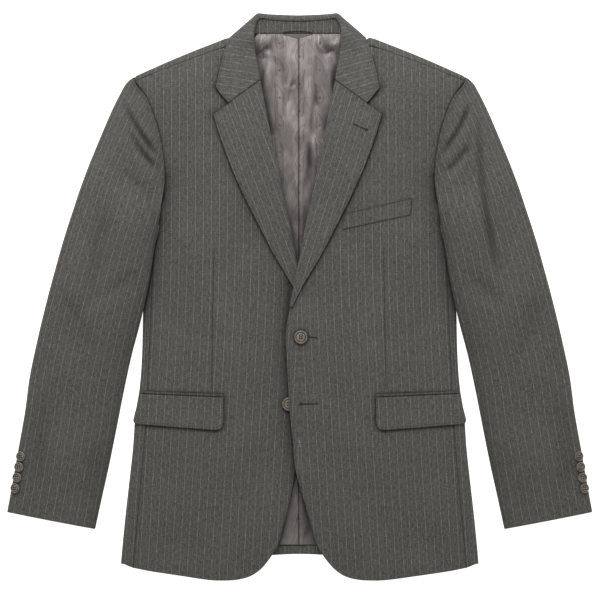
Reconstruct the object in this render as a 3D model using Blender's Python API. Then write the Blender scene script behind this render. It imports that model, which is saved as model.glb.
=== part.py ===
"""A two-button single breasted blazer laid flat on its back, fastened at the upper button.

X runs across the garment towards the wearer's left sleeve, Y from hem to collar, and Z up from
the surface that it lies on. Sizes are in millimetres until they reach a mesh. Most tables hold
one half of the garment: a side of +1 is the wearer's left, whose front laps over the other.
"""

from collections import namedtuple

import bmesh
import bpy
import numpy as np

MM = 0.001
SEAM = 0.3  # open gap between two pieces that are sewn together
HALF_SEAM = SEAM / 2
CENTRE = -3.0  # X of the front closure and the collar, a little off the body's middle
OVER, UNDER = 1, -1  # the front that laps over, and the one below it

BACK_WALL = 1.5
FRONT_WALL = 2.0
SIDE_WALL = 1.8
SLEEVE_WALL = 1.8
LAPEL_WALL = 1.6
COLLAR_WALL = 1.6
LINING_WALL = 1.2
WELT_WALL = 1.4
FLAP_WALL = 1.8
JET_WALL = 1.0
HEM_FACING_WALL = 1.2

UNDERARM = 118.0
NECK_SEAM = 379.5  # Y where the back neck, the stand and the lining meet
LINING_HEM = -357.0
BACK_HEM_CENTRE, BACK_HEM_SIDE = -370.7, -384.0

Body = namedtuple("Body", "y half_width crown edge")
BODY = [
    Body(-410, 259.5, 14.0, 8.0),
    Body(-386, 258.0, 15.0, 8.0),
    Body(-322, 252.0, 16.5, 8.5),
    Body(-270, 246.2, 18.0, 9.0),
    Body(-218, 240.5, 19.0, 9.5),
    Body(-166, 236.5, 20.5, 10.0),
    Body(-132, 231.0, 21.5, 10.0),
    Body(-97, 228.0, 22.0, 10.5),
    Body(-30, 226.0, 23.5, 10.5),
    Body(60, 225.5, 26.0, 11.0),
    Body(118, 226.0, 28.0, 11.5),
    Body(200, 232.0, 30.0, 12.0),
    Body(260, 240.0, 29.0, 12.0),
    Body(320, 250.0, 26.0, 11.6),
    Body(372, 257.0, 22.0, 9.6),
    Body(420, 262.0, 20.0, 9.4),
]
CROWN_POWER = 2.4  # how late the laid front falls away to its sides
SHOULDER_FALL = 45.0  # distance over which the chest rises from the shoulder edge

# A front's hem. Its rounded corner is measured from the closure, and its side from the middle.
Hem = namedtuple("Hem", "out y")
HEM = [
    Hem(51, -389.5),
    Hem(67, -401.2),
    Hem(86, -406.6),
    Hem(106, -408.0),
    Hem(130, -407.0),
    Hem(177, -400.4),
    Hem(214, -395.0),
    Hem(240, -390.0),
    Hem(258, -384.5),
]
HEM_CORNER_TO, HEM_SIDE_FROM = 105.0, 180.0

# Distance from the closure line, negative past it: the front edge from the rounded corner up.
FrontEdge = namedtuple("FrontEdge", "y over under")
FRONT_EDGE = [
    FrontEdge(-389.5, 51.0, 51.0),
    FrontEdge(-371.5, 36.5, 37.0),
    FrontEdge(-354.0, 27.0, 27.5),
    FrontEdge(-325.0, 18.4, 19.8),
    FrontEdge(-293.5, 9.4, 11.6),
    FrontEdge(-247.0, -3.2, 2.8),
    FrontEdge(-206.6, -7.0, -1.0),
    FrontEdge(-168.6, -11.2, -6.5),
    FrontEdge(-135.5, -13.4, -10.5),
    FrontEdge(-90.0, -15.6, -14.5),
    FrontEdge(-44.6, -16.5, -16.5),
]

# The lapel from the gorge seam down to its break: its roll line, its outer edge and its roll.
Lapel = namedtuple("Lapel", "roll_out roll_y edge_out edge_y roll_radius edge_lift")
LAPEL = [
    Lapel(53.3, 311.4, 99.0, 277.6, 3.8, 0.8),
    Lapel(51.6, 302.0, 120.9, 262.0, 3.8, 1.2),
    Lapel(47.6, 280.0, 113.8, 238.0, 3.8, 1.6),
    Lapel(42.2, 252.7, 105.0, 212.0, 3.8, 1.8),
    Lapel(36.6, 226.0, 95.4, 186.5, 3.8, 1.8),
    Lapel(30.2, 198.0, 84.6, 162.0, 3.7, 1.8),
    Lapel(24.9, 168.0, 73.2, 137.0, 3.6, 1.6),
    Lapel(19.4, 139.0, 60.4, 112.0, 3.5, 1.4),
    Lapel(12.1, 110.0, 47.4, 86.0, 3.4, 1.0),
    Lapel(6.2, 77.0, 31.6, 56.5, 3.2, 0.5),
    Lapel(0.5, 48.2, 18.0, 34.0, 3.1, 0.3),
    Lapel(-5.6, 20.0, 4.6, 11.0, 3.0, 0.2),
    Lapel(-12.4, -12.0, -8.2, -13.5, 3.0, 0.1),
]
PANEL_TUCK = 3.9  # how far a front's edge stays inside the roll of its lapel
LAPEL_TUCK = 9.0  # how far the facing turns back below the roll
FRONT_NECK = [(57.5, 311.4), (68.0, 334.0), (86.0, 353.5)]

Side = namedtuple("Side", "y x")
FRONT_SIDE_SEAM = [
    Side(-390, 240.0),
    Side(-264, 228.5),
    Side(-189, 222.0),
    Side(-106, 218.0),
    Side(-20, 214.0),
    Side(60, 211.5),
    Side(118, 211.0),
]
BACK_SIDE_SEAM = [
    Side(-384, 176.0),
    Side(-200, 160.0),
    Side(-60, 150.0),
    Side(60, 152.0),
    Side(118, 166.0),
]
ARMHOLE = [
    (211.0, 118.0),
    (202.5, 126.0),
    (196.2, 142.0),
    (193.6, 175.0),
    (195.6, 202.0),
    (200.4, 230.0),
    (209.5, 262.0),
    (222.0, 289.5),
    (237.5, 309.4),
]
SEAM_ROWS = 13  # rows that a front, a side body and a back share along their seams
ARMHOLE_ROWS = 9  # and those that a front and a sleeve share

# Shoulder: its top edge from the neck to the sleeve, and where the seam lies below that edge.
SHOULDER_NECK, SHOULDER_TIP = 99.0, 238.0
SHOULDER_TOP, SHOULDER_SLOPE, SHOULDER_BULGE = 375.5, 0.415, 1.7
SEAM_AT_NECK, SEAM_AT_TIP = 13.0, 7.5
NECK_POINT = 88.0
NECK_DIP = 8.0  # how far the shoulder's edge runs in below the collar's fall

# The sleeve's cap, from the shoulder down: its outer fold, and where its underside meets the
# back's armhole. Its upper side meets the front's armhole.
Cap = namedtuple("Cap", "outer_x outer_y under_x under_y edge crown")
SLEEVE_CAP = [
    Cap(240.2, 316.4, 237.5, 314.0, 10.0, 0.2),
    Cap(246.5, 311.6, 237.5, 307.0, 11.0, 1.0),
    Cap(259.5, 291.5, 223.0, 287.5, 11.0, 3.0),
    Cap(271.5, 267.0, 212.0, 262.0, 11.0, 6.0),
    Cap(281.5, 244.0, 206.0, 238.0, 11.0, 8.0),
    Cap(292.0, 219.0, 204.0, 212.0, 11.0, 9.5),
    Cap(302.5, 193.5, 212.5, 178.0, 11.0, 10.5),
    Cap(314.0, 163.0, 229.5, 143.0, 11.0, 11.0),
]
# The back's edge round the underarm, from its side seam to where the sleeve's underside starts.
BACK_UNDERARM = [(184.0, 119.8), (206.0, 121.5), (221.0, 131.0), (221.5, 150.0)]

# The sleeve below its cap, from fold to fold.
Sleeve = namedtuple("Sleeve", "outer_x outer_y inner_x inner_y edge crown")
SLEEVE = [
    Sleeve(326.0, 127.4, 202.4, 106.0, 10.5, 9.5),
    Sleeve(337.3, 93.0, 207.6, 76.0, 10.5, 9.0),
    Sleeve(352.0, 42.0, 216.2, 22.0, 10.0, 8.5),
    Sleeve(366.0, -10.8, 228.4, -34.0, 10.0, 8.0),
    Sleeve(378.2, -62.0, 242.0, -84.0, 9.5, 7.5),
    Sleeve(389.2, -114.5, 253.6, -137.0, 9.0, 7.0),
    Sleeve(396.2, -166.0, 264.0, -190.0, 8.5, 6.5),
    Sleeve(405.4, -218.0, 274.6, -242.5, 8.5, 6.0),
    Sleeve(413.8, -266.0, 285.4, -291.0, 8.0, 5.0),
    Sleeve(421.8, -309.8, 294.8, -334.4, 8.0, 4.0),
]
SLEEVE_CLEAR = 2.3  # between the body's side and the sleeve that lies on it
SLEEVE_HEAD = 1.0  # how far the sleeve's head stands above the front at the armhole
SLEEVE_RAMP = 22.0  # how far out from the body's side the sleeve comes down to the surface

# Collar stations where the fall lies on the fronts, from the gorge seam up; the heights are
# worked out from the front below.
CollarFront = namedtuple("CollarFront", "fold_out fold_y leaf_out leaf_y lift")
COLLAR_FRONT = [
    CollarFront(53.5, 312.0, 99.0, 278.2, 0.8),
    CollarFront(54.3, 317.0, 108.4, 288.6, 0.9),
    CollarFront(55.2, 323.0, 117.4, 300.6, 1.0),
    CollarFront(57.6, 336.0, 113.2, 321.0, 1.0),
    CollarFront(60.6, 355.0, 107.4, 344.0, 0.9),
]
# Collar stations past those, round the neck's side and along the back, where the fall lies
# below. "turn" is how far the cloth's outer face has turned over, in degrees.
CollarBack = namedtuple("CollarBack", "fold_out fold_y fold_z leaf_out leaf_y leaf_z turn")
COLLAR_BACK = [
    CollarBack(66.6, 376.0, 18.6, 102.4, 362.0, 15.4, 8),
    CollarBack(65.0, 391.0, 15.0, 99.4, 369.0, 14.6, 28),
    CollarBack(61.6, 404.0, 11.4, 98.6, 373.0, 11.6, 62),
    CollarBack(59.6, 407.8, 7.2, 98.0, 374.2, 7.0, 90),
    CollarBack(57.0, 408.2, 3.2, 95.8, 374.0, 3.0, 122),
    CollarBack(51.5, 406.4, 0.4, 88.6, 370.6, 0.3, 160),
    CollarBack(38.0, 403.8, 0.0, 60.0, 360.6, 0.0, 180),
    CollarBack(18.0, 402.5, 0.0, 24.0, 356.2, 0.0, 180),
    CollarBack(0.0, 402.0, 0.0, 0.0, 355.6, 0.0, 180),
]
COLLAR_RADIUS = 4.2
COLLAR_TUCK = 2.6
NECK_CORNER_X, NECK_CORNER_Y = 0.63, 0.78  # the way that the collar faces as it turns over
FALL_LIFT = 2.8  # the back lies this far up where it rests on the fall
FALL_RAMP_FROM, FALL_RAMP_TO = 280.0, 350.0  # Y between which the back climbs on to the fall
FALL_SIDE_FROM, FALL_SIDE_TO = 106.0, 128.0  # and how far out it comes down again

# The stand inside the neck: its upper edge from the middle out, just inside the collar's roll.
StandEdge = namedtuple("StandEdge", "out y z")
STAND_EDGE = [
    StandEdge(0.0, 398.5, 8.4),
    StandEdge(18.0, 399.0, 8.4),
    StandEdge(37.0, 400.3, 8.4),
    StandEdge(48.5, 400.8, 8.2),
    StandEdge(52.6, 399.2, 7.7),
    StandEdge(55.4, 395.6, 7.3),
    StandEdge(59.0, 390.4, 7.2),
    StandEdge(61.5, 386.0, 7.2),
]
STAND_HALF_LOW, STAND_LOW_Z = 62.0, 7.2

# The back lining: a fold beside each side of the neck, a pleat near the middle and shallow ripples.
LINING_EASE = 0.8  # between the lining and the back
LINING_REACH_Y = [LINING_HEM, 100, 300, 340, NECK_SEAM]
LINING_REACH = [140, 140, 120, 90, 60]
NECK_FOLD_HEIGHT, NECK_FOLD_OUT, NECK_FOLD_WIDTH, NECK_FOLD_SWING = 2.4, 44.0, 9.0, 10.0
PLEAT_HEIGHT, PLEAT_X, PLEAT_WIDTH = 1.6, 3.0, 5.0
RIPPLE_HEIGHT = 0.7
HEM_FACING_HALF = 130.0

LOOP_HALF, LOOP_WIDTH, LOOP_WALL, LOOP_RISE, LOOP_Z = 22.0, 4.0, 0.9, 4.0, 8.8

# The pockets: "mouth" is the upper edge of the jet; the flap hangs from below it.
POCKET = dict(inner_x=109.5, outer_x=235.0, outer_in=-3.0, mouth_y=-134.6, mouth_slope=4.6)
POCKET.update(jet_width=4.6, flap_inner=48.0, flap_outer=43.0, flap_corner=12.0, flap_proud=5.0)
POCKET_SPREAD = 1.5  # how much closer the columns of points lie towards the body's side
JET_WIDER, FLAP_WIDER = 1.6, 3.6  # how much wider than the body's side these lie
WELT = dict(lower=(61.8, 96.4), upper=(64.6, 119.4))
WELT.update(far_lower=(160.0, 118.0), far_upper=(161.6, 142.6))

Button = namedtuple("Button", "x y diameter thickness side")
FRONT_BUTTONS = [Button(1.5, -57.6, 19.8, 3.6, OVER), Button(-15.6, -153.8, 19.8, 3.6, UNDER)]
SLEEVE_BUTTON, SLEEVE_BUTTON_THICKNESS, SLEEVE_BUTTON_TILT = 14.6, 3.0, 22.0
SLEEVE_BUTTON_ROW, SLEEVE_BUTTON_PITCH, SLEEVE_BUTTON_IN = -229.4, 15.3, 6.2
SLEEVE_BUTTON_GAP = 0.45  # from the folded edge, which bulges a little between its points

CLOTH = ("cloth", (0.095, 0.092, 0.083), 0.85)
FACING = ("facing", (0.105, 0.1, 0.09), 0.85)
LINING = ("lining", (0.2, 0.165, 0.155), 0.4)
HORN = ("horn", (0.2, 0.165, 0.13), 0.35)


# ---------------------------------------------------------------- curves and surfaces


def smooth(t):
    """0 to 1 with level ends."""
    t = np.clip(t, 0.0, 1.0)
    return t * t * (3 - 2 * t)


def column(table, key, value, at):
    """A table's column read at a place along another column, as a smooth curve that never overshoots."""
    xs = np.array([getattr(row, key) for row in table], float)
    ys = np.array([getattr(row, value) for row in table], float)
    if xs[0] > xs[-1]:
        xs, ys = xs[::-1], ys[::-1]
    step, rise = np.diff(xs), np.diff(ys)
    slope = rise / step
    tangent = np.concatenate([[slope[0]], (slope[:-1] + slope[1:]) / 2, [slope[-1]]])
    turning = slope[:-1] * slope[1:] <= 0
    tangent[1:-1][turning] = 0
    limit = 3 * np.minimum(np.abs(np.append(slope[0], slope)), np.abs(np.append(slope, slope[-1])))
    tangent = np.clip(tangent, -limit, limit)
    at = np.clip(np.asarray(at, float), xs[0], xs[-1])
    i = np.clip(np.searchsorted(xs, at, side="right") - 1, 0, len(step) - 1)
    t = (at - xs[i]) / step[i]
    return (
        ys[i] * (2 * t**3 - 3 * t**2 + 1)
        + ys[i + 1] * (3 * t**2 - 2 * t**3)
        + tangent[i] * step[i] * (t**3 - 2 * t**2 + t)
        + tangent[i + 1] * step[i] * (t**3 - t**2)
    )


def along(points, fractions, before=None, after=None):
    """Places at these shares of the length of a smooth curve through points.

    before and after are points past its ends, where it runs on into another curve.
    """
    points = np.asarray(points, float)
    before = 2 * points[0] - points[1] if before is None else before
    after = 2 * points[-1] - points[-2] if after is None else after
    ends = np.vstack([before, points, after])
    fine = []
    for i in range(len(points) - 1):
        a, b, c, d = ends[i : i + 4]
        t = np.linspace(0, 1, 12, endpoint=False)[:, None]
        square, cube = 2 * a - 5 * b + 4 * c - d, 3 * b - a - 3 * c + d
        fine.append(0.5 * (2 * b + (c - a) * t + square * t**2 + cube * t**3))
    fine = np.vstack(fine + [points[-1:]])
    length = np.concatenate([[0], np.cumsum(np.linalg.norm(np.diff(fine, axis=0), axis=1))])
    wanted = np.asarray(fractions) * length[-1]
    return np.stack([np.interp(wanted, length, fine[:, k]) for k in range(fine.shape[1])], axis=1)


def shares(points):
    """How far along a polyline each of its points is, from 0 to 1."""
    steps = np.linalg.norm(np.diff(points, axis=0), axis=1)
    length = np.concatenate([[0], np.cumsum(steps)])
    return length / length[-1]


def patch(bottom, top, left, right):
    """A grid of plan points between four edges: bottom and top run from left to right, the others up."""
    u = shares(bottom)[None, :, None] * 0.5 + shares(top)[None, :, None] * 0.5
    v = shares(left)[:, None, None] * 0.5 + shares(right)[:, None, None] * 0.5
    ruled = (1 - v) * bottom[None] + v * top[None] + (1 - u) * left[:, None] + u * right[:, None]
    corners = (1 - u) * (1 - v) * bottom[0] + u * (1 - v) * bottom[-1]
    return ruled - corners - (1 - u) * v * top[0] - u * v * top[-1]


def shoulder_line(out):
    """Y of the shoulder's top edge at a distance out from the middle."""
    below_fall = NECK_DIP * smooth((SHOULDER_NECK + 13 - out) / 24)
    out = np.clip(out, SHOULDER_NECK, SHOULDER_TIP + 10)
    rise = SHOULDER_BULGE * np.sin(np.pi * (out - SHOULDER_NECK) / (SHOULDER_TIP - SHOULDER_NECK))
    return SHOULDER_TOP - SHOULDER_SLOPE * (out - SHOULDER_NECK) + rise - below_fall


def laid_height(x, y):
    """Z of the outer face of the fronts before they lap."""
    edge, crown = column(BODY, "y", "edge", y), column(BODY, "y", "crown", y)
    share = np.abs(x) / column(BODY, "y", "half_width", y)
    across = np.maximum(0, 1 - share**CROWN_POWER)
    below = np.maximum(0, shoulder_line(np.abs(x)) - y)
    return edge + (crown - edge) * across * (1 - np.exp(-below / SHOULDER_FALL))


def shoulder_top(x, y):
    """Z of the upper face beside a sleeve's head, which rounds down over the shoulder's edge."""
    radius = laid_height(x, y) / 2
    past = np.clip(y - (shoulder_line(x) - radius), 0, radius)
    return radius + np.sqrt(radius**2 - past**2)


def front_height(x, y, side):
    """Z of the outer face of one front: they part near the closure, where one laps the other."""
    near = smooth((95 - np.abs(x - CENTRE)) / 70) * smooth((150 - y) / 90)
    hem_ward = 0.35 + 0.65 * smooth((y + 345) / 110)
    return laid_height(x, y) + (3.6 if side == OVER else -4.0) * near * hem_ward


def body_top(x, y, wider=0.0):
    """Z of the body's upper face out to its folded side, which can be taken a little wider."""
    radius = column(BODY, "y", "edge", y) / 2
    past = np.abs(x) - (column(BODY, "y", "half_width", y) + wider - radius)
    round_edge = radius + np.sqrt(np.maximum(0, radius**2 - np.clip(past, 0, radius) ** 2))
    return np.where(past <= 0, laid_height(x, y), round_edge)


def floor_height(x, y):
    """Z of the back's lower face: on the surface, but up on the collar's fall at the neck."""
    out = np.abs(x - CENTRE)
    up = smooth((y - FALL_RAMP_FROM) / (FALL_RAMP_TO - FALL_RAMP_FROM))
    return FALL_LIFT * up * smooth((FALL_SIDE_TO - out) / (FALL_SIDE_TO - FALL_SIDE_FROM))


# ---------------------------------------------------------------- meshes


def material(kind):
    name, colour, roughness = kind
    made = bpy.data.materials.new(name)
    made.use_nodes = True
    shader = made.node_tree.nodes["Principled BSDF"]
    shader.inputs["Base Color"].default_value = (*colour, 1.0)
    shader.inputs["Roughness"].default_value = roughness
    shader.inputs["Metallic"].default_value = 0.0
    made.diffuse_color = (*colour, 1.0)
    return made


def add_object(name, points, faces, kind):
    """A closed mesh from points in millimetres, with its faces turned outwards."""
    mesh = bpy.data.meshes.new(name)
    mesh.from_pydata([tuple(p * MM) for p in points], [], faces)
    shape = bmesh.new()
    shape.from_mesh(mesh)
    bmesh.ops.recalc_face_normals(shape, faces=shape.faces)
    if shape.calc_volume(signed=True) < 0:
        bmesh.ops.reverse_faces(shape, faces=shape.faces)
    shape.to_mesh(mesh)
    shape.free()
    mesh.materials.append(material(kind))
    mesh.shade_smooth()
    mesh.set_sharp_from_angle(angle=np.radians(50))
    made = bpy.data.objects.new(name, mesh)
    bpy.context.scene.collection.objects.link(made)
    return made


def wall(name, outer, inner, kind):
    """The cloth between two grids of points, closed round its edges."""
    rows, cols = outer.shape[:2]
    count = rows * cols
    index = np.arange(count).reshape(rows, cols)
    faces = []
    for i in range(rows - 1):
        for j in range(cols - 1):
            a, b, c, d = index[i, j], index[i, j + 1], index[i + 1, j + 1], index[i + 1, j]
            faces.append((a, b, c, d))
            faces.append((d + count, c + count, b + count, a + count))
    rim = [*index[0, :], *index[1:, -1], *index[-1, -2::-1], *index[-2:0:-1, 0]]
    for a, b in zip(rim, rim[1:] + rim[:1]):
        faces.append((b, a, a + count, b + count))
    points = np.concatenate([outer.reshape(-1, 3), inner.reshape(-1, 3)])
    return add_object(name, points, [tuple(int(i) for i in face) for face in faces], kind)


def sheet(name, plan, z_outer, thickness, kind):
    """A panel that lies nearly level: plan points with the height of its upper face."""
    outer = np.concatenate([plan, z_outer[..., None]], axis=2)
    inner = outer - np.array([0, 0, thickness])
    return wall(name, outer, inner, kind)


def sided(name, side):
    return f"{name}_{'left' if side == OVER else 'right'}"


# ---------------------------------------------------------------- fronts and lapels


def roll_points(outward=0.0):
    """The lapel's roll line in plan, from the break up, moved outward from the closure."""
    return [(row.roll_out + outward, row.roll_y) for row in reversed(LAPEL)]


def seam_points(table, outward=0.0):
    """A side seam from the hem to the underarm, at the rows that the pieces on it share."""
    y = table[0].y + (UNDERARM - table[0].y) * np.linspace(0, 1, SEAM_ROWS)
    return np.stack([column(table, "y", "x", y) + outward, y], axis=1)


def hem_points(side):
    """A front's hem in plan from its rounded corner, as distances from the garment's middle."""
    points = []
    for row in HEM:
        corner = smooth((HEM_SIDE_FROM - row.out) / (HEM_SIDE_FROM - HEM_CORNER_TO))
        points.append((row.out + side * CENTRE * float(corner), row.y))
    return points


def front_plan(side, cols=12):
    """Plan points of a front, from its side seam and armhole to its edge, roll line and neck."""
    left = np.vstack([seam_points(FRONT_SIDE_SEAM, -HALF_SEAM), armhole_points(-HALF_SEAM)[1:]])
    edge = [(row.over if side == OVER else row.under, row.y) for row in FRONT_EDGE]
    edge += roll_points(PANEL_TUCK)[1:-1] + FRONT_NECK
    edge = [(out + side * CENTRE, y) for out, y in edge]
    hem = [place for place in hem_points(side) if place[0] < left[0, 0]]
    right = along(edge, shares(left), before=hem[1])
    bottom = along([left[0]] + hem[::-1], np.linspace(0, 1, cols), after=edge[1])
    outs = np.linspace(left[-1, 0], right[-1, 0], cols)
    drop = np.interp(outs, [NECK_POINT, SHOULDER_TIP], [SEAM_AT_NECK, SEAM_AT_TIP])
    drop += 1.2 * smooth((140 - outs) / 25)
    top = np.stack([outs, shoulder_line(outs) - drop - HALF_SEAM], axis=1)
    top[0], top[-1] = left[-1], right[-1]
    return patch(bottom, top, left, right) * [side, 1]


def armhole_points(outward=0.0):
    """The front's armhole from the underarm up, at the rows that front and sleeve share."""
    points = along(ARMHOLE, np.linspace(0, 1, ARMHOLE_ROWS))
    return points + [outward, 0]


def make_front(side):
    plan = front_plan(side)
    z = front_height(plan[..., 0], plan[..., 1], side)
    return sheet(sided("front", side), plan, z, FRONT_WALL, CLOTH)


def turned_section(start, leaf, normal, radius, tuck, thickness, bends=6):
    """Outer and inner points of cloth that comes out of a tuck, rolls over and runs on as a leaf.

    start is on the outer face above the roll's axis, and leaf gives places from there to the edge.
    """
    forward = leaf[-1] - start
    forward = forward / np.linalg.norm(forward)
    normal = normal - forward * (normal @ forward)
    normal = normal / np.linalg.norm(normal)
    outer = [start + forward * tuck - normal * 2 * radius]
    inner = [start + forward * tuck - normal * (2 * radius - thickness)]
    axis = start - normal * radius
    for turn in np.linspace(0, np.pi, bends):
        out = -forward * np.sin(turn) - normal * np.cos(turn)
        outer.append(axis + out * radius)
        inner.append(axis + out * (radius - thickness))
    for place in leaf[1:]:
        outer.append(place)
        inner.append(place - normal * thickness)
    return outer, inner


def make_lapel(side, spans=6):
    outer, inner = [], []
    for row in LAPEL:
        rise = row.roll_radius - FRONT_WALL / 2
        fold = np.array([side * row.roll_out + CENTRE, row.roll_y])
        edge = np.array([side * row.edge_out + CENTRE, row.edge_y])
        across = (edge - fold) / np.linalg.norm(edge - fold)
        start = fold + across * row.roll_radius
        width = max(np.linalg.norm(edge - start), 2.5)
        leaf = []
        for t in np.linspace(0, 1, spans):
            place = start + across * width * t
            lift = row.edge_lift * np.sin(np.pi * t * 0.75)
            leaf.append([*place, front_height(*place, side) + rise + lift])
        leaf = np.array(leaf)
        tuck = min(LAPEL_TUCK, width)
        pair = turned_section(leaf[0], leaf, np.array([0, 0, 1.0]), row.roll_radius, tuck, LAPEL_WALL)
        outer.append(pair[0])
        inner.append(pair[1])
    return wall(sided("lapel", side), np.array(outer), np.array(inner), FACING)


# ---------------------------------------------------------------- body sides and back


def side_ring(front, fold, back):
    """One section of a side body, from the front's seam over the folded side to the back's seam.

    front and back are the seams' plan points, and fold is the section's Y at the folded side.
    """
    radius = float(column(BODY, "y", "edge", fold)) / 2
    turn_x = float(column(BODY, "y", "half_width", fold)) - radius
    places = []
    for t in np.linspace(0, 1, 3)[:-1]:
        x, y = front[0] + (turn_x - front[0]) * t, front[1] + (fold - front[1]) * t
        places.append((x, y, float(laid_height(x, y)), 0.0, 1.0))
    for turn in np.radians(np.linspace(90, -90, 7)):
        out, up = np.cos(turn), np.sin(turn)
        places.append((turn_x + radius * out, fold, radius + radius * up, out, up))
    for t in np.linspace(0, 1, 4)[1:]:
        places.append((turn_x + (back[0] - turn_x) * t, fold + (back[1] - fold) * t, 0.0, 0.0, -1.0))
    outer = [(x, y, z) for x, y, z, _, _ in places]
    inner = [(x - SIDE_WALL * out, y, z - SIDE_WALL * up) for x, y, z, out, up in places]
    return outer, inner


def make_side_body(side):
    front, back = seam_points(FRONT_SIDE_SEAM, HALF_SEAM), seam_points(BACK_SIDE_SEAM, HALF_SEAM)
    folds = HEM[-1].y + (UNDERARM - HEM[-1].y) * np.linspace(0, 1, SEAM_ROWS)
    rings = [side_ring(*places) for places in zip(front, folds, back)]
    outer = np.array([ring[0] for ring in rings]) * [side, 1, 1]
    inner = np.array([ring[1] for ring in rings]) * [side, 1, 1]
    wall(sided("side_body", side), outer, inner, CLOTH)


def back_top_edge(out):
    """Y where a back panel turns up: the neck seam in the middle, the shoulder's edge past it."""
    into = smooth((out - 58) / 22)
    return NECK_SEAM * (1 - into) + shoulder_line(out) * into


def make_back(side, cols=10):
    """A back panel: flat below, and turned up over the shoulder's edge as far as its seam."""
    arm = [(row.under_x - 2 * SEAM, row.under_y) for row in SLEEVE_CAP[-2::-1]]
    left = np.vstack([seam_points(BACK_SIDE_SEAM, -HALF_SEAM), BACK_UNDERARM, arm])
    outs = HALF_SEAM + (left[-1, 0] - HALF_SEAM) * np.linspace(1, 0, cols)
    turned = smooth((outs - 80) / 22)
    shoulder = shoulder_line(outs)
    radius = (column(BODY, "y", "edge", shoulder) - floor_height(side * outs, shoulder)) / 2
    top = np.stack([outs, back_top_edge(outs) - radius * turned], axis=1)
    left[-1] = top[0]
    centre_y = BACK_HEM_CENTRE + (top[-1, 1] - BACK_HEM_CENTRE) * shares(left)
    right = np.stack([np.full(len(left), HALF_SEAM), centre_y], axis=1)
    across = np.linspace(0, 1, cols)
    hem_x = left[0, 0] + (HALF_SEAM - left[0, 0]) * across
    hem_y = left[0, 1] + (BACK_HEM_CENTRE - left[0, 1]) * smooth(across)
    plan = patch(np.stack([hem_x, hem_y], axis=1), top, left, right)
    z = floor_height(side * plan[..., 0], plan[..., 1])
    outer = np.concatenate([plan, z[..., None]], axis=2)
    inner = outer + [0, 0, BACK_WALL]
    turned_outer, turned_inner = shoulder_turn(top, z[-1], radius, turned)
    outer = np.concatenate([outer, turned_outer]) * [side, 1, 1]
    inner = np.concatenate([inner, turned_inner]) * [side, 1, 1]
    return wall(sided("back", side), outer, inner, CLOTH)


def shoulder_turn(top, floor, radius, share):
    """Rows that carry a back panel up round the shoulder's edge and forward to its seam."""
    outer, inner = [], []
    drop = np.interp(top[:, 0], [NECK_POINT, SHOULDER_TIP], [SEAM_AT_NECK, SEAM_AT_TIP]) - HALF_SEAM
    for k, turn in enumerate(np.radians([36, 72, 108, 144, 180])):
        y = top[:, 1] + radius * share * np.sin(turn)
        z = floor + radius * share * (1 - np.cos(turn))
        ahead = (1 - share) * 0.5 * (k + 1)
        outer.append(np.stack([top[:, 0], y + ahead, z], axis=1))
        away_y, away_z = np.sin(turn) * share, -np.cos(turn) * share - (1 - share)
        inner.append(outer[-1] - BACK_WALL * np.stack([0 * y, away_y, away_z], axis=1))
    last = outer[-1].copy()
    flat = np.maximum(0.6, drop - radius) * share
    last[:, 1] -= flat
    last[:, 1] += (1 - share) * 0.5
    meet = laid_height(last[:, 0], last[:, 1])
    last[:, 2] += (meet - last[:, 2]) * share
    outer.append(last)
    inner.append(last - BACK_WALL * np.stack([0 * share, 0 * share, 2 * share - 1], axis=1))
    return np.array(outer), np.array(inner)


# ---------------------------------------------------------------- sleeves


def sleeve_base(x, y):
    """Z of a sleeve's lower face: on the surface, and up over the body's side where it crosses it."""
    width, edge = column(BODY, "y", "half_width", y), column(BODY, "y", "edge", y)
    inside = width + 2.0 - np.abs(x)
    over = laid_height(np.minimum(np.abs(x), width - edge / 2), y) + SLEEVE_CLEAR
    ramp = (edge + SLEEVE_CLEAR) * smooth(1 + inside / SLEEVE_RAMP)
    height = np.where(inside > 0, np.maximum(over, ramp), ramp)
    return height * smooth((172 - y) / 34)


def fold_places(width, edge, fold_z, up):
    """The rounded inner fold of a sleeve's upper (up is 1) or lower (-1) cloth."""
    radius = edge / 2
    places = []
    for turn in np.linspace(np.pi / 2, HALF_SEAM / radius, 4):
        run = width - radius * (1 - np.cos(turn))
        rise = up * np.sin(turn)
        places.append((run, fold_z + radius * (1 + rise), np.cos(turn), rise))
    return places


def outer_places(radius, edge, up):
    """The rounded outer fold, the same way."""
    places = []
    for turn in np.linspace(HALF_SEAM / radius, np.pi / 2, 4):
        run = radius * (1 - np.cos(turn))
        rise = up * np.sin(turn)
        places.append((run, edge / 2 * (1 + rise), -np.cos(turn), rise))
    return places


def sleeve_section(start, end, places):
    """Outer and inner points from places, each with its run from start, its Z and its normal."""
    into = (end - start) / np.linalg.norm(end - start)
    outer = [(*(start + into * run), z) for run, z, _, _ in places]
    inner = [(*(start + into * (run - SLEEVE_WALL * a)), z - SLEEVE_WALL * b) for run, z, a, b in places]
    return outer, inner


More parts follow.
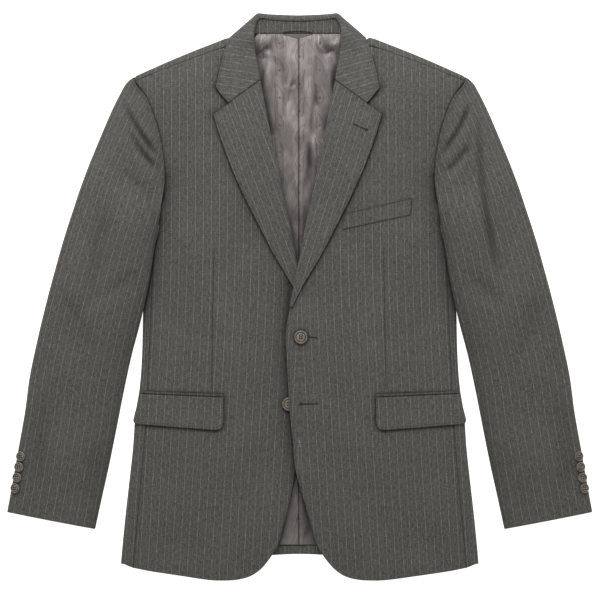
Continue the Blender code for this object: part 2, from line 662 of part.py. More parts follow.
def sleeve_top_section(row, end, free, spans=7):
    """From the outer fold over the top to the inner fold, or to the armhole where none is free."""
    start, end = np.array([row.outer_x, row.outer_y]), np.array(end)
    width = np.linalg.norm(end - start)
    into = (end - start) / width
    radius = min(row.edge / 2, width * 0.45)
    fold_z = float(sleeve_base(*(end - into * row.edge / 2)))
    inner_top = fold_z + row.edge if free else float(shoulder_top(*end)) + SLEEVE_HEAD
    places = outer_places(radius, row.edge, 1)
    for t in np.linspace(0, 1, spans)[1:-1]:
        dome = row.crown * (1 - abs(2 * t - 1) ** 2.2)
        rise = (inner_top - row.edge) * t**1.4
        places.append((radius + (width - 2 * radius) * t, row.edge + rise + dome, 0.0, 1.0))
    if free:
        places += fold_places(width, row.edge, fold_z, 1)
    else:
        for t in np.linspace(1, 0, 4):
            places.append((width - radius * t, inner_top + 0.6 * np.sin(np.pi * t), 0.0, 1.0))
    return sleeve_section(start, end, places)


def sleeve_under_section(row, end, free, spans=7):
    """The same along the underside."""
    start, end = np.array([row.outer_x, row.outer_y]), np.array(end)
    width = np.linalg.norm(end - start)
    into = (end - start) / width
    radius = min(row.edge / 2, width * 0.45)
    places = outer_places(radius, row.edge, -1)
    runs = list(radius + (width - 2 * radius) * np.linspace(0, 1, spans)[1:-1])
    if not free:
        runs += [width - radius * t for t in np.linspace(1, 0, 4)]
    places += [(run, float(sleeve_base(*(start + into * run))), 0.0, -1.0) for run in runs]
    if free:
        fold_z = float(sleeve_base(*(end - into * row.edge / 2)))
        places += fold_places(width, row.edge, fold_z, -1)
    return sleeve_section(start, end, places)


def make_sleeve(side):
    armhole = armhole_points(HALF_SEAM)[::-1]
    ends = [(armhole[0, 0], SLEEVE_CAP[0].outer_y), *armhole]
    tops = [sleeve_top_section(row, seam, False) for row, seam in zip(SLEEVE_CAP, ends)]
    tops += [sleeve_top_section(row, (row.inner_x, row.inner_y), True) for row in SLEEVE]
    unders = [sleeve_under_section(row, (row.under_x, row.under_y), False) for row in SLEEVE_CAP]
    unders += [sleeve_under_section(row, (row.inner_x, row.inner_y), True) for row in SLEEVE]
    for name, sections in (("sleeve_top", tops), ("sleeve_under", unders)):
        outer = np.array([section[0] for section in sections]) * [side, 1, 1]
        inner = np.array([section[1] for section in sections]) * [side, 1, 1]
        wall(sided(name, side), outer, inner, CLOTH)


# ---------------------------------------------------------------- collar


def collar_half(side):
    """Sections of the fall from a gorge seam to the middle of the back, as outer and inner points."""
    pairs = []
    radius = LAPEL[0].roll_radius
    rise = radius - FRONT_WALL / 2
    up = np.array([0, 0, 1.0])
    for row in COLLAR_FRONT:
        fold = np.array([side * row.fold_out + CENTRE, row.fold_y])
        edge = np.array([side * row.leaf_out + CENTRE, row.leaf_y])
        across = (edge - fold) / np.linalg.norm(edge - fold)
        start = fold + across * radius
        leaf = []
        for t in np.linspace(0, 1, 6):
            place = start + (edge - start) * t
            lift = row.lift * np.sin(np.pi * t * 0.75)
            leaf.append([*place, float(front_height(*place, side)) + rise + lift])
        leaf = np.array(leaf)
        pairs.append(turned_section(leaf[0], leaf, up, radius, COLLAR_TUCK, COLLAR_WALL))
    for row in COLLAR_BACK:
        start = np.array([side * row.fold_out + CENTRE, row.fold_y, row.fold_z])
        edge = np.array([side * row.leaf_out + CENTRE, row.leaf_y, row.leaf_z])
        leaf = start + (edge - start) * np.linspace(0, 1, 6)[:, None]
        turn = np.radians(row.turn)
        outward = np.array([side * NECK_CORNER_X, NECK_CORNER_Y, 0.0])
        normal = up * np.cos(turn) + outward * np.sin(turn)
        pairs.append(turned_section(start, leaf, normal, COLLAR_RADIUS, COLLAR_TUCK, COLLAR_WALL))
    return pairs


def make_collar():
    near, far = collar_half(UNDER), collar_half(OVER)
    pairs = near + far[-2::-1]
    outer = np.array([pair[0] for pair in pairs])
    inner = np.array([pair[1] for pair in pairs])
    wall("collar_fall", outer, inner, CLOTH)


def make_stand(rows=4):
    """The band inside the neck, from the seam below the collar's roll down to the neck seam."""
    half = [(row.out, row.y, row.z) for row in STAND_EDGE]
    top = np.array([(-out, y, z) for out, y, z in half[:0:-1]] + half) + [CENTRE, 0, 0]
    low = np.zeros_like(top)
    low[:, 0] = CENTRE + STAND_HALF_LOW * (2 * shares(top) - 1)
    low[:, 1:] = NECK_SEAM + HALF_SEAM, STAND_LOW_Z
    down = np.linspace(0, 1, rows)[:, None, None]
    outer = top * (1 - down) + low * down
    wall("collar_stand", outer, outer - [0, 0, COLLAR_WALL], FACING)


# ---------------------------------------------------------------- lining and trim


def lining_height(x, y):
    """Z of the back lining's face: over the back, with its folds."""
    base = floor_height(x, y) + BACK_WALL + LINING_EASE + LINING_WALL
    below_neck = smooth((NECK_SEAM - 10 - y) / 60)
    fold_out = NECK_FOLD_OUT + NECK_FOLD_SWING * np.sin(y / 34)
    from_fold = (np.abs(x - CENTRE) - fold_out) / NECK_FOLD_WIDTH
    side_fold = NECK_FOLD_HEIGHT * np.exp(-(from_fold**2)) * smooth((y - 90) / 120)
    pleat = PLEAT_HEIGHT * np.exp(-(((x - PLEAT_X) / PLEAT_WIDTH) ** 2))
    ripple = RIPPLE_HEIGHT * (1 + np.sin(y / 17 + x / 13))
    return base + (side_fold + pleat + ripple) * below_neck


def make_lining(side, rows=18, cols=7):
    ys = NECK_SEAM - HALF_SEAM + (LINING_HEM - NECK_SEAM) * np.linspace(0, 1, rows)
    plan = np.zeros((rows, cols, 2))
    for i, y in enumerate(ys):
        reach = np.interp(y, LINING_REACH_Y, LINING_REACH)
        plan[i, :, 0] = side * (HALF_SEAM + (reach - HALF_SEAM) * np.linspace(0, 1, cols) ** 1.3)
        plan[i, :, 1] = y
    z = lining_height(plan[..., 0], plan[..., 1])
    return sheet(sided("back_lining", side), plan, z, LINING_WALL, LINING)


def make_hem_facing(cols=13):
    """The back's turned-up hem, below the lining."""
    outs = np.linspace(-HEM_FACING_HALF, HEM_FACING_HALF, cols)
    drop = (BACK_HEM_SIDE - BACK_HEM_CENTRE) * smooth(np.abs(outs) / BACK_SIDE_SEAM[0].x)
    hem = BACK_HEM_CENTRE + drop + 2 * SEAM
    top = np.full(cols, LINING_HEM - SEAM)
    plan = np.stack([np.stack([outs, hem], axis=1), np.stack([outs, top], axis=1)])
    z = np.full(plan.shape[:2], BACK_WALL + SEAM + HEM_FACING_WALL)
    return sheet("back_hem_facing", plan, z, HEM_FACING_WALL, CLOTH)


def pocket_plan(side, drop_inner, drop_outer, below, corner, proud, cols=11, rows=5):
    """A strip across the pocket, from "below" under its mouth; its inner lower corner is rounded."""
    share = 1 - (1 - np.linspace(0, 1, cols)) ** POCKET_SPREAD
    inner_x = POCKET["inner_x"]
    top = POCKET["mouth_y"] - POCKET["mouth_slope"] * (1 - share) - below
    drop = drop_inner + (drop_outer - drop_inner) * share
    x = inner_x + (POCKET["outer_x"] - inner_x) * share
    cut = np.maximum(0, corner - (x - inner_x))
    drop = drop - (corner - np.sqrt(np.maximum(0, corner**2 - cut**2)))
    down = np.linspace(0, 1, rows)[:, None]
    y = top - drop * down
    end = column(BODY, "y", "half_width", y[:, -1:]) + POCKET["outer_in"] + proud * down
    x = inner_x + (end - inner_x) * share
    return np.stack([x * side, y], axis=2)


def make_pocket(side):
    width = POCKET["jet_width"]
    jet = pocket_plan(side, width, width, 0.0, 0.0, 0.0, rows=2)
    z = body_top(jet[..., 0], jet[..., 1], JET_WIDER) + SEAM + JET_WALL
    sheet(sided("pocket_jet", side), jet, z, JET_WALL, CLOTH)
    drops = POCKET["flap_inner"], POCKET["flap_outer"]
    flap = pocket_plan(side, *drops, width + SEAM, POCKET["flap_corner"], POCKET["flap_proud"])
    z = body_top(flap[..., 0], flap[..., 1], FLAP_WIDER) + SEAM + FLAP_WALL
    sheet(sided("pocket_flap", side), flap, z, FLAP_WALL, CLOTH)


def make_breast_welt():
    side = np.linspace(0, 1, 7)[None, :, None]
    up = np.linspace(0, 1, 3)[:, None, None]
    lower = np.array(WELT["lower"]) * (1 - side) + np.array(WELT["far_lower"]) * side
    upper = np.array(WELT["upper"]) * (1 - side) + np.array(WELT["far_upper"]) * side
    plan = lower * (1 - up) + upper * up
    z = front_height(plan[..., 0], plan[..., 1], OVER) + SEAM + WELT_WALL
    return sheet("breast_welt", plan, z, WELT_WALL, CLOTH)


def make_hanger_loop(cols=9):
    t = np.linspace(-1, 1, cols)
    arch = 1 - t**2
    y = NECK_SEAM + 1.0 + LOOP_RISE * 0.6 * arch
    lower = np.stack([CENTRE + LOOP_HALF * t, y, LOOP_Z + 0.5 * arch], axis=1)
    outer = np.array([lower, lower + [0, LOOP_WIDTH, 0.2]])
    wall("hanger_loop", outer, outer - [0, 0, LOOP_WALL], LINING)


def button_mesh(name, diameter, thickness, steps=20):
    """A button turned from its profile: rim, sunk middle and rounded back."""
    radius = diameter / 2
    profile = [
        (0.30 * radius, 0.0),
        (0.86 * radius, 0.0),
        (radius, 0.38 * thickness),
        (0.95 * radius, 0.86 * thickness),
        (0.84 * radius, thickness),
        (0.66 * radius, 0.70 * thickness),
    ]
    points, faces = [], []
    for k in range(steps):
        angle = 2 * np.pi * k / steps
        points += [np.array([r * np.cos(angle), r * np.sin(angle), z]) for r, z in profile]
    size = len(profile)
    for k in range(steps):
        here, after = k * size, (k + 1) % steps * size
        for j in range(size - 1):
            faces.append((here + j, after + j, after + j + 1, here + j + 1))
    faces.append(tuple(k * size for k in range(steps))[::-1])
    faces.append(tuple(k * size + size - 1 for k in range(steps)))
    return add_object(name, points, faces, HORN)


def make_buttons():
    for number, button in enumerate(FRONT_BUTTONS, start=1):
        made = button_mesh(f"front_button_{number}", button.diameter, button.thickness, steps=24)
        made.location = (button.x * MM, button.y * MM, (button_seat(button) + SEAM) * MM)
    for side in (UNDER, OVER):
        for number in range(1, 5):
            name = f"{sided('sleeve_button', side)}_{number}"
            made = button_mesh(name, SLEEVE_BUTTON, SLEEVE_BUTTON_THICKNESS, steps=16)
            x, y, z = sleeve_button_place(number)
            made.location = (side * x * MM, y * MM, z * MM)
            made.rotation_euler = (0, side * np.radians(SLEEVE_BUTTON_TILT), 0)


def sleeve_button_place(number):
    """A sleeve button leans on the folded edge: the middle of its back, for the left sleeve."""
    y = SLEEVE_BUTTON_ROW - SLEEVE_BUTTON_PITCH * (number - 1)
    radius = float(column(SLEEVE, "outer_y", "edge", y)) / 2
    tilt = np.radians(SLEEVE_BUTTON_TILT)
    touch_in, touch_z = radius * (1 - np.sin(tilt)), radius * (1 + np.cos(tilt))
    z = touch_z + (SLEEVE_BUTTON_IN - touch_in) * np.tan(tilt) + SLEEVE_BUTTON_GAP
    return float(column(SLEEVE, "outer_y", "outer_x", y)) - SLEEVE_BUTTON_IN, y, z


def button_seat(button):
    """The highest point of the front below a button."""
    radius = button.diameter / 2
    angles = np.linspace(0, 2 * np.pi, 16)
    x, y = button.x + radius * np.cos(angles), button.y + radius * np.sin(angles)
    return float(np.max(front_height(x, y, button.side)))


def main():
    for old in list(bpy.data.objects):
        bpy.data.objects.remove(old, do_unlink=True)
    for side in (UNDER, OVER):
        make_front(side)
        make_lapel(side)
        make_side_body(side)
        make_back(side)
        make_sleeve(side)
        make_lining(side)
        make_pocket(side)
    make_collar()
    make_stand()
    make_hem_facing()
    make_breast_welt()
    make_hanger_loop()
    make_buttons()


main()
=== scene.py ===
"""Finishes a two-button blazer that lies flat: pinstriped wool, satin lining, horn buttons, sewing.

model.glb gives the solids. Each cloth solid is replaced by a fine shell on the same form, with the
creases of laid cloth. Tables and heights are in millimetres; meshes and settings are in metres.
X runs towards the wearer's left sleeve, Y from hem to collar, and Z up from the surface.
"""

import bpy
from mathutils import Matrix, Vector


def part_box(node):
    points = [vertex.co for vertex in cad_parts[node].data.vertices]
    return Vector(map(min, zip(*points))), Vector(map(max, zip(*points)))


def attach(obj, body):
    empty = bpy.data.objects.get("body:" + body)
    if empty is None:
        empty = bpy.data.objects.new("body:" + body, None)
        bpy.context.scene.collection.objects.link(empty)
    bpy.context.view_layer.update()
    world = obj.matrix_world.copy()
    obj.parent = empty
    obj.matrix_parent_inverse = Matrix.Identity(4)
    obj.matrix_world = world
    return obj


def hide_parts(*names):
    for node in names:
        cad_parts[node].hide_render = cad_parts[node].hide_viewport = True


bl_info = {
    "name": "Laid Blazer",
    "version": (1, 0, 0),
    "blender": (4, 5, 0),
    "location": "View3D > Sidebar > Blazer",
    "description": "Builds the cloth, lining, buttons and sewing of a blazer laid flat",
    "category": "Object",
}

from collections import namedtuple

import bpy
import numpy as np

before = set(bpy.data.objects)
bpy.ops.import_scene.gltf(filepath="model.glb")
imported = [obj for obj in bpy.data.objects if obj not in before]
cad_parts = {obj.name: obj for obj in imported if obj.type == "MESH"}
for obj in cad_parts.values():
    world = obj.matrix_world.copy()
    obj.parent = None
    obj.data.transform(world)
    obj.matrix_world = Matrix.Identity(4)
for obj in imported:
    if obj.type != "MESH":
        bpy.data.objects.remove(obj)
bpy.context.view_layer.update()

MM = 0.001
SEAM = 0.3  # open gap between two pieces that are sewn together
HALF_SEAM = SEAM / 2
CENTRE = -3.0  # X of the front closure and the collar, a little off the body's middle
OVER, UNDER = 1, -1  # the front that laps over, and the one below it

BACK_WALL = 1.5
FRONT_WALL = 2.0
SIDE_WALL = 1.8
SLEEVE_WALL = 1.8
LAPEL_WALL = 1.6
COLLAR_WALL = 1.6
LINING_WALL = 1.2
WELT_WALL = 1.4
FLAP_WALL = 1.8
JET_WALL = 1.0
HEM_FACING_WALL = 1.2

UNDERARM = 118.0
NECK_SEAM = 379.5
LINING_HEM = -357.0
BACK_HEM_CENTRE, BACK_HEM_SIDE = -370.7, -384.0

# How far apart the points of a fine shell are, where it shows and where it doesn't.
FINE, FINER, PLAIN = 3.0, 2.2, 6.0
EDGE_STEPS = (0.3, 0.8, 1.5, 2.3, 3.0, 3.8, 5.0)  # extra points beside an edge
EDGES_ALONE = 1e3  # a spacing so wide that only those extra points are added
SEAM_ROWS = 181
ARMHOLE_ROWS = 9  # rows that a front and a sleeve share
FRONT_ARMHOLE_ROWS = 65
PICK_INSET = 3.0  # how far in from a finished edge its row of stitches runs

Body = namedtuple("Body", "y half_width crown edge")
BODY = [
    Body(-410, 259.5, 14.0, 8.0),
    Body(-386, 258.0, 15.0, 8.0),
    Body(-322, 252.0, 16.5, 8.5),
    Body(-270, 246.2, 18.0, 9.0),
    Body(-218, 240.5, 19.0, 9.5),
    Body(-166, 236.5, 20.5, 10.0),
    Body(-132, 231.0, 21.5, 10.0),
    Body(-97, 228.0, 22.0, 10.5),
    Body(-30, 226.0, 23.5, 10.5),
    Body(60, 225.5, 26.0, 11.0),
    Body(118, 226.0, 28.0, 11.5),
    Body(200, 232.0, 30.0, 12.0),
    Body(260, 240.0, 29.0, 12.0),
    Body(320, 250.0, 26.0, 11.6),
    Body(372, 257.0, 22.0, 9.6),
    Body(420, 262.0, 20.0, 9.4),
]
CROWN_POWER = 2.4
SHOULDER_FALL = 45.0

Hem = namedtuple("Hem", "out y")
HEM = [
    Hem(51, -389.5),
    Hem(67, -401.2),
    Hem(86, -406.6),
    Hem(106, -408.0),
    Hem(130, -407.0),
    Hem(177, -400.4),
    Hem(214, -395.0),
    Hem(240, -390.0),
    Hem(258, -384.5),
]
HEM_CORNER_TO, HEM_SIDE_FROM = 105.0, 180.0

FrontEdge = namedtuple("FrontEdge", "y over under")
FRONT_EDGE = [
    FrontEdge(-389.5, 51.0, 51.0),
    FrontEdge(-371.5, 36.5, 37.0),
    FrontEdge(-354.0, 27.0, 27.5),
    FrontEdge(-325.0, 18.4, 19.8),
    FrontEdge(-293.5, 9.4, 11.6),
    FrontEdge(-247.0, -3.2, 2.8),
    FrontEdge(-206.6, -7.0, -1.0),
    FrontEdge(-168.6, -11.2, -6.5),
    FrontEdge(-135.5, -13.4, -10.5),
    FrontEdge(-90.0, -15.6, -14.5),
    FrontEdge(-44.6, -16.5, -16.5),
]

Lapel = namedtuple("Lapel", "roll_out roll_y edge_out edge_y roll_radius edge_lift")
LAPEL = [
    Lapel(53.3, 311.4, 99.0, 277.6, 3.8, 0.8),
    Lapel(51.6, 302.0, 120.9, 262.0, 3.8, 1.2),
    Lapel(47.6, 280.0, 113.8, 238.0, 3.8, 1.6),
    Lapel(42.2, 252.7, 105.0, 212.0, 3.8, 1.8),
    Lapel(36.6, 226.0, 95.4, 186.5, 3.8, 1.8),
    Lapel(30.2, 198.0, 84.6, 162.0, 3.7, 1.8),
    Lapel(24.9, 168.0, 73.2, 137.0, 3.6, 1.6),
    Lapel(19.4, 139.0, 60.4, 112.0, 3.5, 1.4),
    Lapel(12.1, 110.0, 47.4, 86.0, 3.4, 1.0),
    Lapel(6.2, 77.0, 31.6, 56.5, 3.2, 0.5),
    Lapel(0.5, 48.2, 18.0, 34.0, 3.1, 0.3),
    Lapel(-5.6, 20.0, 4.6, 11.0, 3.0, 0.2),
    Lapel(-12.4, -12.0, -9.6, -13.5, 2.4, 0.1),
]
LAPEL_PEAK_ROW = 1
LAPEL_LIFT = 1.8  # how much further the edges of the lapels and the collar stand off
PANEL_TUCK = 3.9
LAPEL_TUCK = 9.0
FRONT_NECK = [(57.5, 311.4), (68.0, 334.0), (86.0, 353.5)]

Side = namedtuple("Side", "y x")
FRONT_SIDE_SEAM = [
    Side(-390, 240.0),
    Side(-264, 228.5),
    Side(-189, 222.0),
    Side(-106, 218.0),
    Side(-20, 214.0),
    Side(60, 211.5),
    Side(118, 211.0),
]
BACK_SIDE_SEAM = [
    Side(-384, 176.0),
    Side(-200, 160.0),
    Side(-60, 150.0),
    Side(60, 152.0),
    Side(118, 166.0),
]
ARMHOLE = [
    (211.0, 118.0),
    (202.5, 126.0),
    (196.2, 142.0),
    (193.6, 175.0),
    (195.6, 202.0),
    (200.4, 230.0),
    (209.5, 262.0),
    (222.0, 289.5),
    (237.5, 310.5),
]

SHOULDER_NECK, SHOULDER_TIP = 99.0, 238.0
SHOULDER_TOP, SHOULDER_SLOPE, SHOULDER_BULGE = 375.5, 0.415, 1.7
SEAM_AT_NECK, SEAM_AT_TIP = 13.0, 7.5
NECK_POINT = 88.0
NECK_DIP = 8.0

Cap = namedtuple("Cap", "outer_x outer_y under_x under_y edge crown")
SLEEVE_CAP = [
    Cap(240.2, 316.4, 237.5, 314.0, 10.0, 0.2),
    Cap(246.5, 311.6, 237.5, 307.0, 11.0, 1.0),
    Cap(259.5, 291.5, 223.0, 287.5, 11.0, 3.0),
    Cap(271.5, 267.0, 212.0, 262.0, 11.0, 6.0),
    Cap(281.5, 244.0, 206.0, 238.0, 11.0, 8.0),
    Cap(292.0, 219.0, 204.0, 212.0, 11.0, 9.5),
    Cap(302.5, 193.5, 212.5, 178.0, 11.0, 10.5),
    Cap(314.0, 163.0, 229.5, 143.0, 11.0, 11.0),
]
BACK_UNDERARM = [(184.0, 119.8), (206.0, 121.5), (221.0, 131.0), (221.5, 150.0)]

Sleeve = namedtuple("Sleeve", "outer_x outer_y inner_x inner_y edge crown")
SLEEVE = [
    Sleeve(326.0, 127.4, 202.4, 106.0, 10.5, 9.5),
    Sleeve(337.3, 93.0, 207.6, 76.0, 10.5, 9.0),
    Sleeve(352.0, 42.0, 216.2, 22.0, 10.0, 8.5),
    Sleeve(366.0, -10.8, 228.4, -34.0, 10.0, 8.0),
    Sleeve(378.2, -62.0, 242.0, -84.0, 9.5, 7.5),
    Sleeve(389.2, -114.5, 253.6, -137.0, 9.0, 7.0),
    Sleeve(396.2, -166.0, 264.0, -190.0, 8.5, 6.5),
    Sleeve(405.4, -218.0, 274.6, -242.5, 8.5, 6.0),
    Sleeve(413.8, -266.0, 285.4, -291.0, 8.0, 5.0),
    Sleeve(421.8, -309.8, 294.8, -334.4, 8.0, 4.0),
]
SLEEVE_CLEAR = 2.3
SLEEVE_HEAD = 1.0
SLEEVE_RAMP = 22.0

CollarFront = namedtuple("CollarFront", "fold_out fold_y leaf_out leaf_y lift")
COLLAR_FRONT = [
    CollarFront(53.5, 312.0, 99.0, 278.2, 0.8),
    CollarFront(54.3, 317.0, 108.4, 288.6, 0.9),
    CollarFront(55.2, 323.0, 117.4, 300.6, 1.0),
    CollarFront(57.6, 336.0, 113.2, 321.0, 1.0),
    CollarFront(60.6, 355.0, 107.4, 344.0, 0.9),
]
COLLAR_POINT_ROW = 2
CollarBack = namedtuple("CollarBack", "fold_out fold_y fold_z leaf_out leaf_y leaf_z turn")
COLLAR_BACK = [
    CollarBack(66.6, 376.0, 18.6, 102.4, 362.0, 15.4, 8),
    CollarBack(65.0, 391.0, 15.0, 99.4, 369.0, 14.6, 28),
    CollarBack(61.6, 404.0, 11.4, 98.6, 373.0, 11.6, 62),
    CollarBack(59.6, 407.8, 7.2, 98.0, 374.2, 7.0, 90),
    CollarBack(57.0, 408.2, 3.2, 95.8, 374.0, 3.0, 122),
    CollarBack(51.5, 406.4, 0.4, 88.6, 370.6, 0.3, 160),
    CollarBack(38.0, 403.8, 0.0, 60.0, 360.6, 0.0, 180),
    CollarBack(18.0, 402.5, 0.0, 24.0, 356.2, 0.0, 180),
    CollarBack(0.0, 402.0, 0.0, 0.0, 355.6, 0.0, 180),
]
COLLAR_RADIUS = 4.2
COLLAR_TUCK = 5.0
NECK_CORNER_X, NECK_CORNER_Y = 0.63, 0.78
FALL_LIFT = 2.8
FALL_RAMP_FROM, FALL_RAMP_TO = 280.0, 350.0
FALL_SIDE_FROM, FALL_SIDE_TO = 106.0, 128.0

StandEdge = namedtuple("StandEdge", "out y z")
STAND_EDGE = [
    StandEdge(0.0, 400.4, 6.4),
    StandEdge(18.0, 400.9, 6.4),
    StandEdge(37.0, 402.4, 6.4),
    StandEdge(49.5, 403.6, 6.3),
    StandEdge(53.8, 402.4, 6.0),
    StandEdge(58.8, 399.6, 6.2),
    StandEdge(62.8, 392.8, 6.6),
    StandEdge(64.8, 386.4, 6.9),
]
STAND_HALF_LOW, STAND_LOW_Z = 63.2, 7.2

LINING_EASE = 0.8
LINING_SEAM_OUT = 1.6  # how far the lining's seam lies off the back's, towards the under front
ARMHOLE_TURN = 1.5  # how far an armhole's edge turns in below the sleeve's head
SEAM_TURN = 0.45  # how far a front's other sewn edges turn in below the next piece
LINING_REACH_Y = [LINING_HEM, 100, 300, 340, NECK_SEAM]
LINING_REACH = [140, 140, 120, 90, 60]
NECK_FOLD_HEIGHT, NECK_FOLD_OUT, NECK_FOLD_WIDTH, NECK_FOLD_SWING = 2.4, 44.0, 9.0, 10.0
PLEAT_HEIGHT, PLEAT_X, PLEAT_WIDTH = 1.6, 3.0, 5.0
RIPPLE_HEIGHT = 0.7
HEM_FACING_HALF = 130.0
LOOP_HALF, LOOP_WIDTH, LOOP_WALL, LOOP_RISE, LOOP_Z = 22.0, 4.0, 0.9, 4.0, 8.8
LOOP_PATCH = [(-22.0, 0.6), (0.0, 7.4), (22.0, 0.6)]  # X past CENTRE, and how far below the seam

POCKET = dict(inner_x=109.5, outer_x=235.0, outer_in=-3.0, mouth_y=-134.6, mouth_slope=4.6)
POCKET.update(jet_width=4.6, flap_inner=48.0, flap_outer=43.0, flap_corner=12.0, flap_proud=5.0)
JET_WIDER, FLAP_WIDER = 1.6, 3.6
FLAP_LIFT = 1.4
WELT = dict(lower=(61.8, 96.4), upper=(64.6, 119.4))
WELT.update(far_lower=(160.0, 118.0), far_upper=(161.6, 142.6))

# Darts: the stitched line of each, by its distance from the middle and its Y.
DARTS = {
    UNDER: [(122.8, 67.0), (124.8, -10.0), (126.4, -132.0)],
    OVER: [(120.6, 67.0), (122.0, -10.0), (123.5, -134.0)],
}
DART_WIDTH, DART_DEPTH = 0.9, 0.9

# Stripes: how far they lean outwards below the waist, on the lapels and on the collar.
SKIRT_LEAN, SKIRT_LEAN_Y, SKIRT_LEAN_RAMP = 0.058, 12.0, 45.0
LAPEL_LEAN = {OVER: 0.31, UNDER: 0.37}
COLLAR_LEAN = {OVER: 0.29, UNDER: 0.16}

# A fold runs from one plan point to another with a bow, and rises (or sinks) by its height.
Fold = namedtuple("Fold", "x1 y1 x2 y2 bow width height")
BODY_FOLDS = [
    Fold(-196, 110, -150, -70, 10, 11, -0.9),
    Fold(-182, 118, -132, -40, 12, 12, 0.9),
    Fold(-150, 250, -140, 90, -6, 16, 0.8),
    Fold(-92, 40, -205, -60, 9, 13, -0.7),
    Fold(-30, -66, -190, -40, 10, 9, -0.8),
    Fold(-36, -84, -170, -96, -7, 11, 0.7),
    Fold(-80, -190, -66, -380, 8, 15, -0.9),
    Fold(-140, -200, -160, -398, -8, 17, 1.0),
    Fold(-200, -200, -214, -385, 5, 14, -0.8),
    Fold(190, 104, 152, -60, -10, 11, -0.8),
    Fold(178, 110, 128, 10, -9, 12, 0.8),
    Fold(140, 248, 150, 100, 7, 16, 0.9),
    Fold(26, -66, 196, -34, -11, 10, -0.8),
    Fold(34, -90, 178, -104, 8, 12, 0.7),
    Fold(60, -160, 86, -392, -9, 18, 0.9),
    Fold(30, -200, 62, -380, 8, 13, -0.6),
    Fold(150, -200, 158, -398, 9, 16, -1.0),
    Fold(205, -196, 216, -380, -6, 13, 0.9),
]
SLEEVE_FOLDS = [
    Fold(-254, 284, -200, 198, -5, 3.9, -5.4),
    Fold(-250, 264, -204, 190, -4, 5.2, 2.8),
    Fold(-246, 244, -200, 178, -4, 3.9, -4.4),
    Fold(-254, 214, -203, 150, 6, 7.5, 2.2),
    Fold(-262, 184, -206, 128, 7, 7.0, -2.0),
    Fold(-290, 226, -316, 60, 10, 12, 1.6),
    Fold(-270, 150, -300, -40, -9, 12, -1.6),
    Fold(-222, 40, -290, -20, -10, 9, -1.5),
    Fold(-236, 4, -330, -66, -14, 11, 1.3),
    Fold(-352, 20, -300, -90, 10, 12, -1.2),
    Fold(-300, -80, -330, -260, 9, 13, 1.2),
    Fold(-360, -110, -372, -290, -8, 12, -1.2),
    Fold(-292, -190, -318, -320, 6, 10, -0.9),
    Fold(247, 284, 199, 200, 5, 3.9, -5.2),
    Fold(252, 262, 206, 188, 4, 5.4, 2.8),
    Fold(247, 224, 204, 176, 4, 3.8, -4.2),
    Fold(258, 205, 204, 142, -6, 7.5, 2.0),
    Fold(257, 282, 291, 12, -9, 5.2, -4.0),
    Fold(272, 262, 306, 36, -9, 10, 1.8),
    Fold(236, 150, 262, 10, 7, 10, 1.3),
    Fold(226, 46, 298, -36, 11, 9, -1.6),
    Fold(240, -8, 330, -60, 13, 11, 1.2),
    Fold(356, 10, 312, -110, -10, 12, -1.2),
    Fold(292, -96, 326, -280, -9, 12, 1.2),
    Fold(366, -120, 380, -296, 9, 12, -1.4),
    Fold(312, -210, 330, -326, -6, 10, -0.9),
]
LINING_FOLDS = [
    Fold(-55, 377, -38, 346, -9, 3.2, 4.0),
    Fold(-50, 366, -56, 340, 5, 4.0, -2.6),
    Fold(-40, 374, -30, 330, -5, 3.4, -2.4),
    Fold(-46, 340, -32, 236, -7, 5.5, 3.4),
    Fold(-28, 352, -24, 250, 5, 5.0, -2.0),
    Fold(-12, 330, -16, 210, -4, 4.0, 1.5),
    Fold(-4, 318, -14, 268, -6, 2.6, -2.4),
    Fold(-3, 300, -24, 306, 2, 2.4, 1.5),
    Fold(30, 377, 40, 352, -8, 3.4, 3.8),
    Fold(36, 368, 52, 356, -9, 4.6, -3.0),
    Fold(44, 362, 58, 372, -4, 3.0, 2.6),
    Fold(40, 344, 36, 240, 6, 5.0, 3.0),
    Fold(26, 350, 28, 262, -5, 4.4, -2.2),
    Fold(16, 362, 22, 300, 5, 3.2, 1.5),
    Fold(4, 250, 26, 180, 5, 4.6, 2.2),
    Fold(-22, 236, -6, 150, 5, 4.0, -2.2),
    Fold(-8, 220, 2, 120, -3, 3.6, 1.6),
    Fold(12, 236, 6, 140, 4, 3.4, -1.9),
    Fold(-30, -330, 6, -250, 5, 5.0, 2.0),
    Fold(-60, 352, -43, 206, 4, 6.4, -3.2),
    Fold(56, 348, 40, 214, -4, 5.4, -3.2),
    Fold(-34, 300, -22, 150, 4, 3.6, 2.6),
    Fold(24, 306, 16, 168, -4, 3.4, -2.2),
    Fold(-12, -354, 2, -300, 3, 2.4, 2.6),
    Fold(6, -354, 16, -290, -4, 3.4, -1.9),
    Fold(22, -350, 10, -240, -5, 5.0, 1.7),
]

Button = namedtuple("Button", "x y diameter")
FRONT_BUTTONS = {OVER: Button(1.5, -57.6, 19.8), UNDER: Button(-15.6, -153.8, 19.8)}
SLEEVE_BUTTONS = 4

# Buttonholes: the eye's middle, the slit's far end and the eye's radius, all in the left front.
Hole = namedtuple("Hole", "name eye_x eye_y end_x end_y eye_radius")
HOLES = [
    Hole("front_buttonhole_1", 0.6, -56.4, 24.2, -58.4, 1.7),
    Hole("front_buttonhole_2", 1.8, -153.4, 25.6, -153.3, 2.3),
    Hole("lapel_buttonhole", 95.2, 239.4, 77.4, 247.8, 2.1),
]


# ---------------------------------------------------------------- curves and heights


def smooth(t):
    """0 to 1 with level ends."""
    t = np.clip(t, 0.0, 1.0)
    return t * t * (3 - 2 * t)


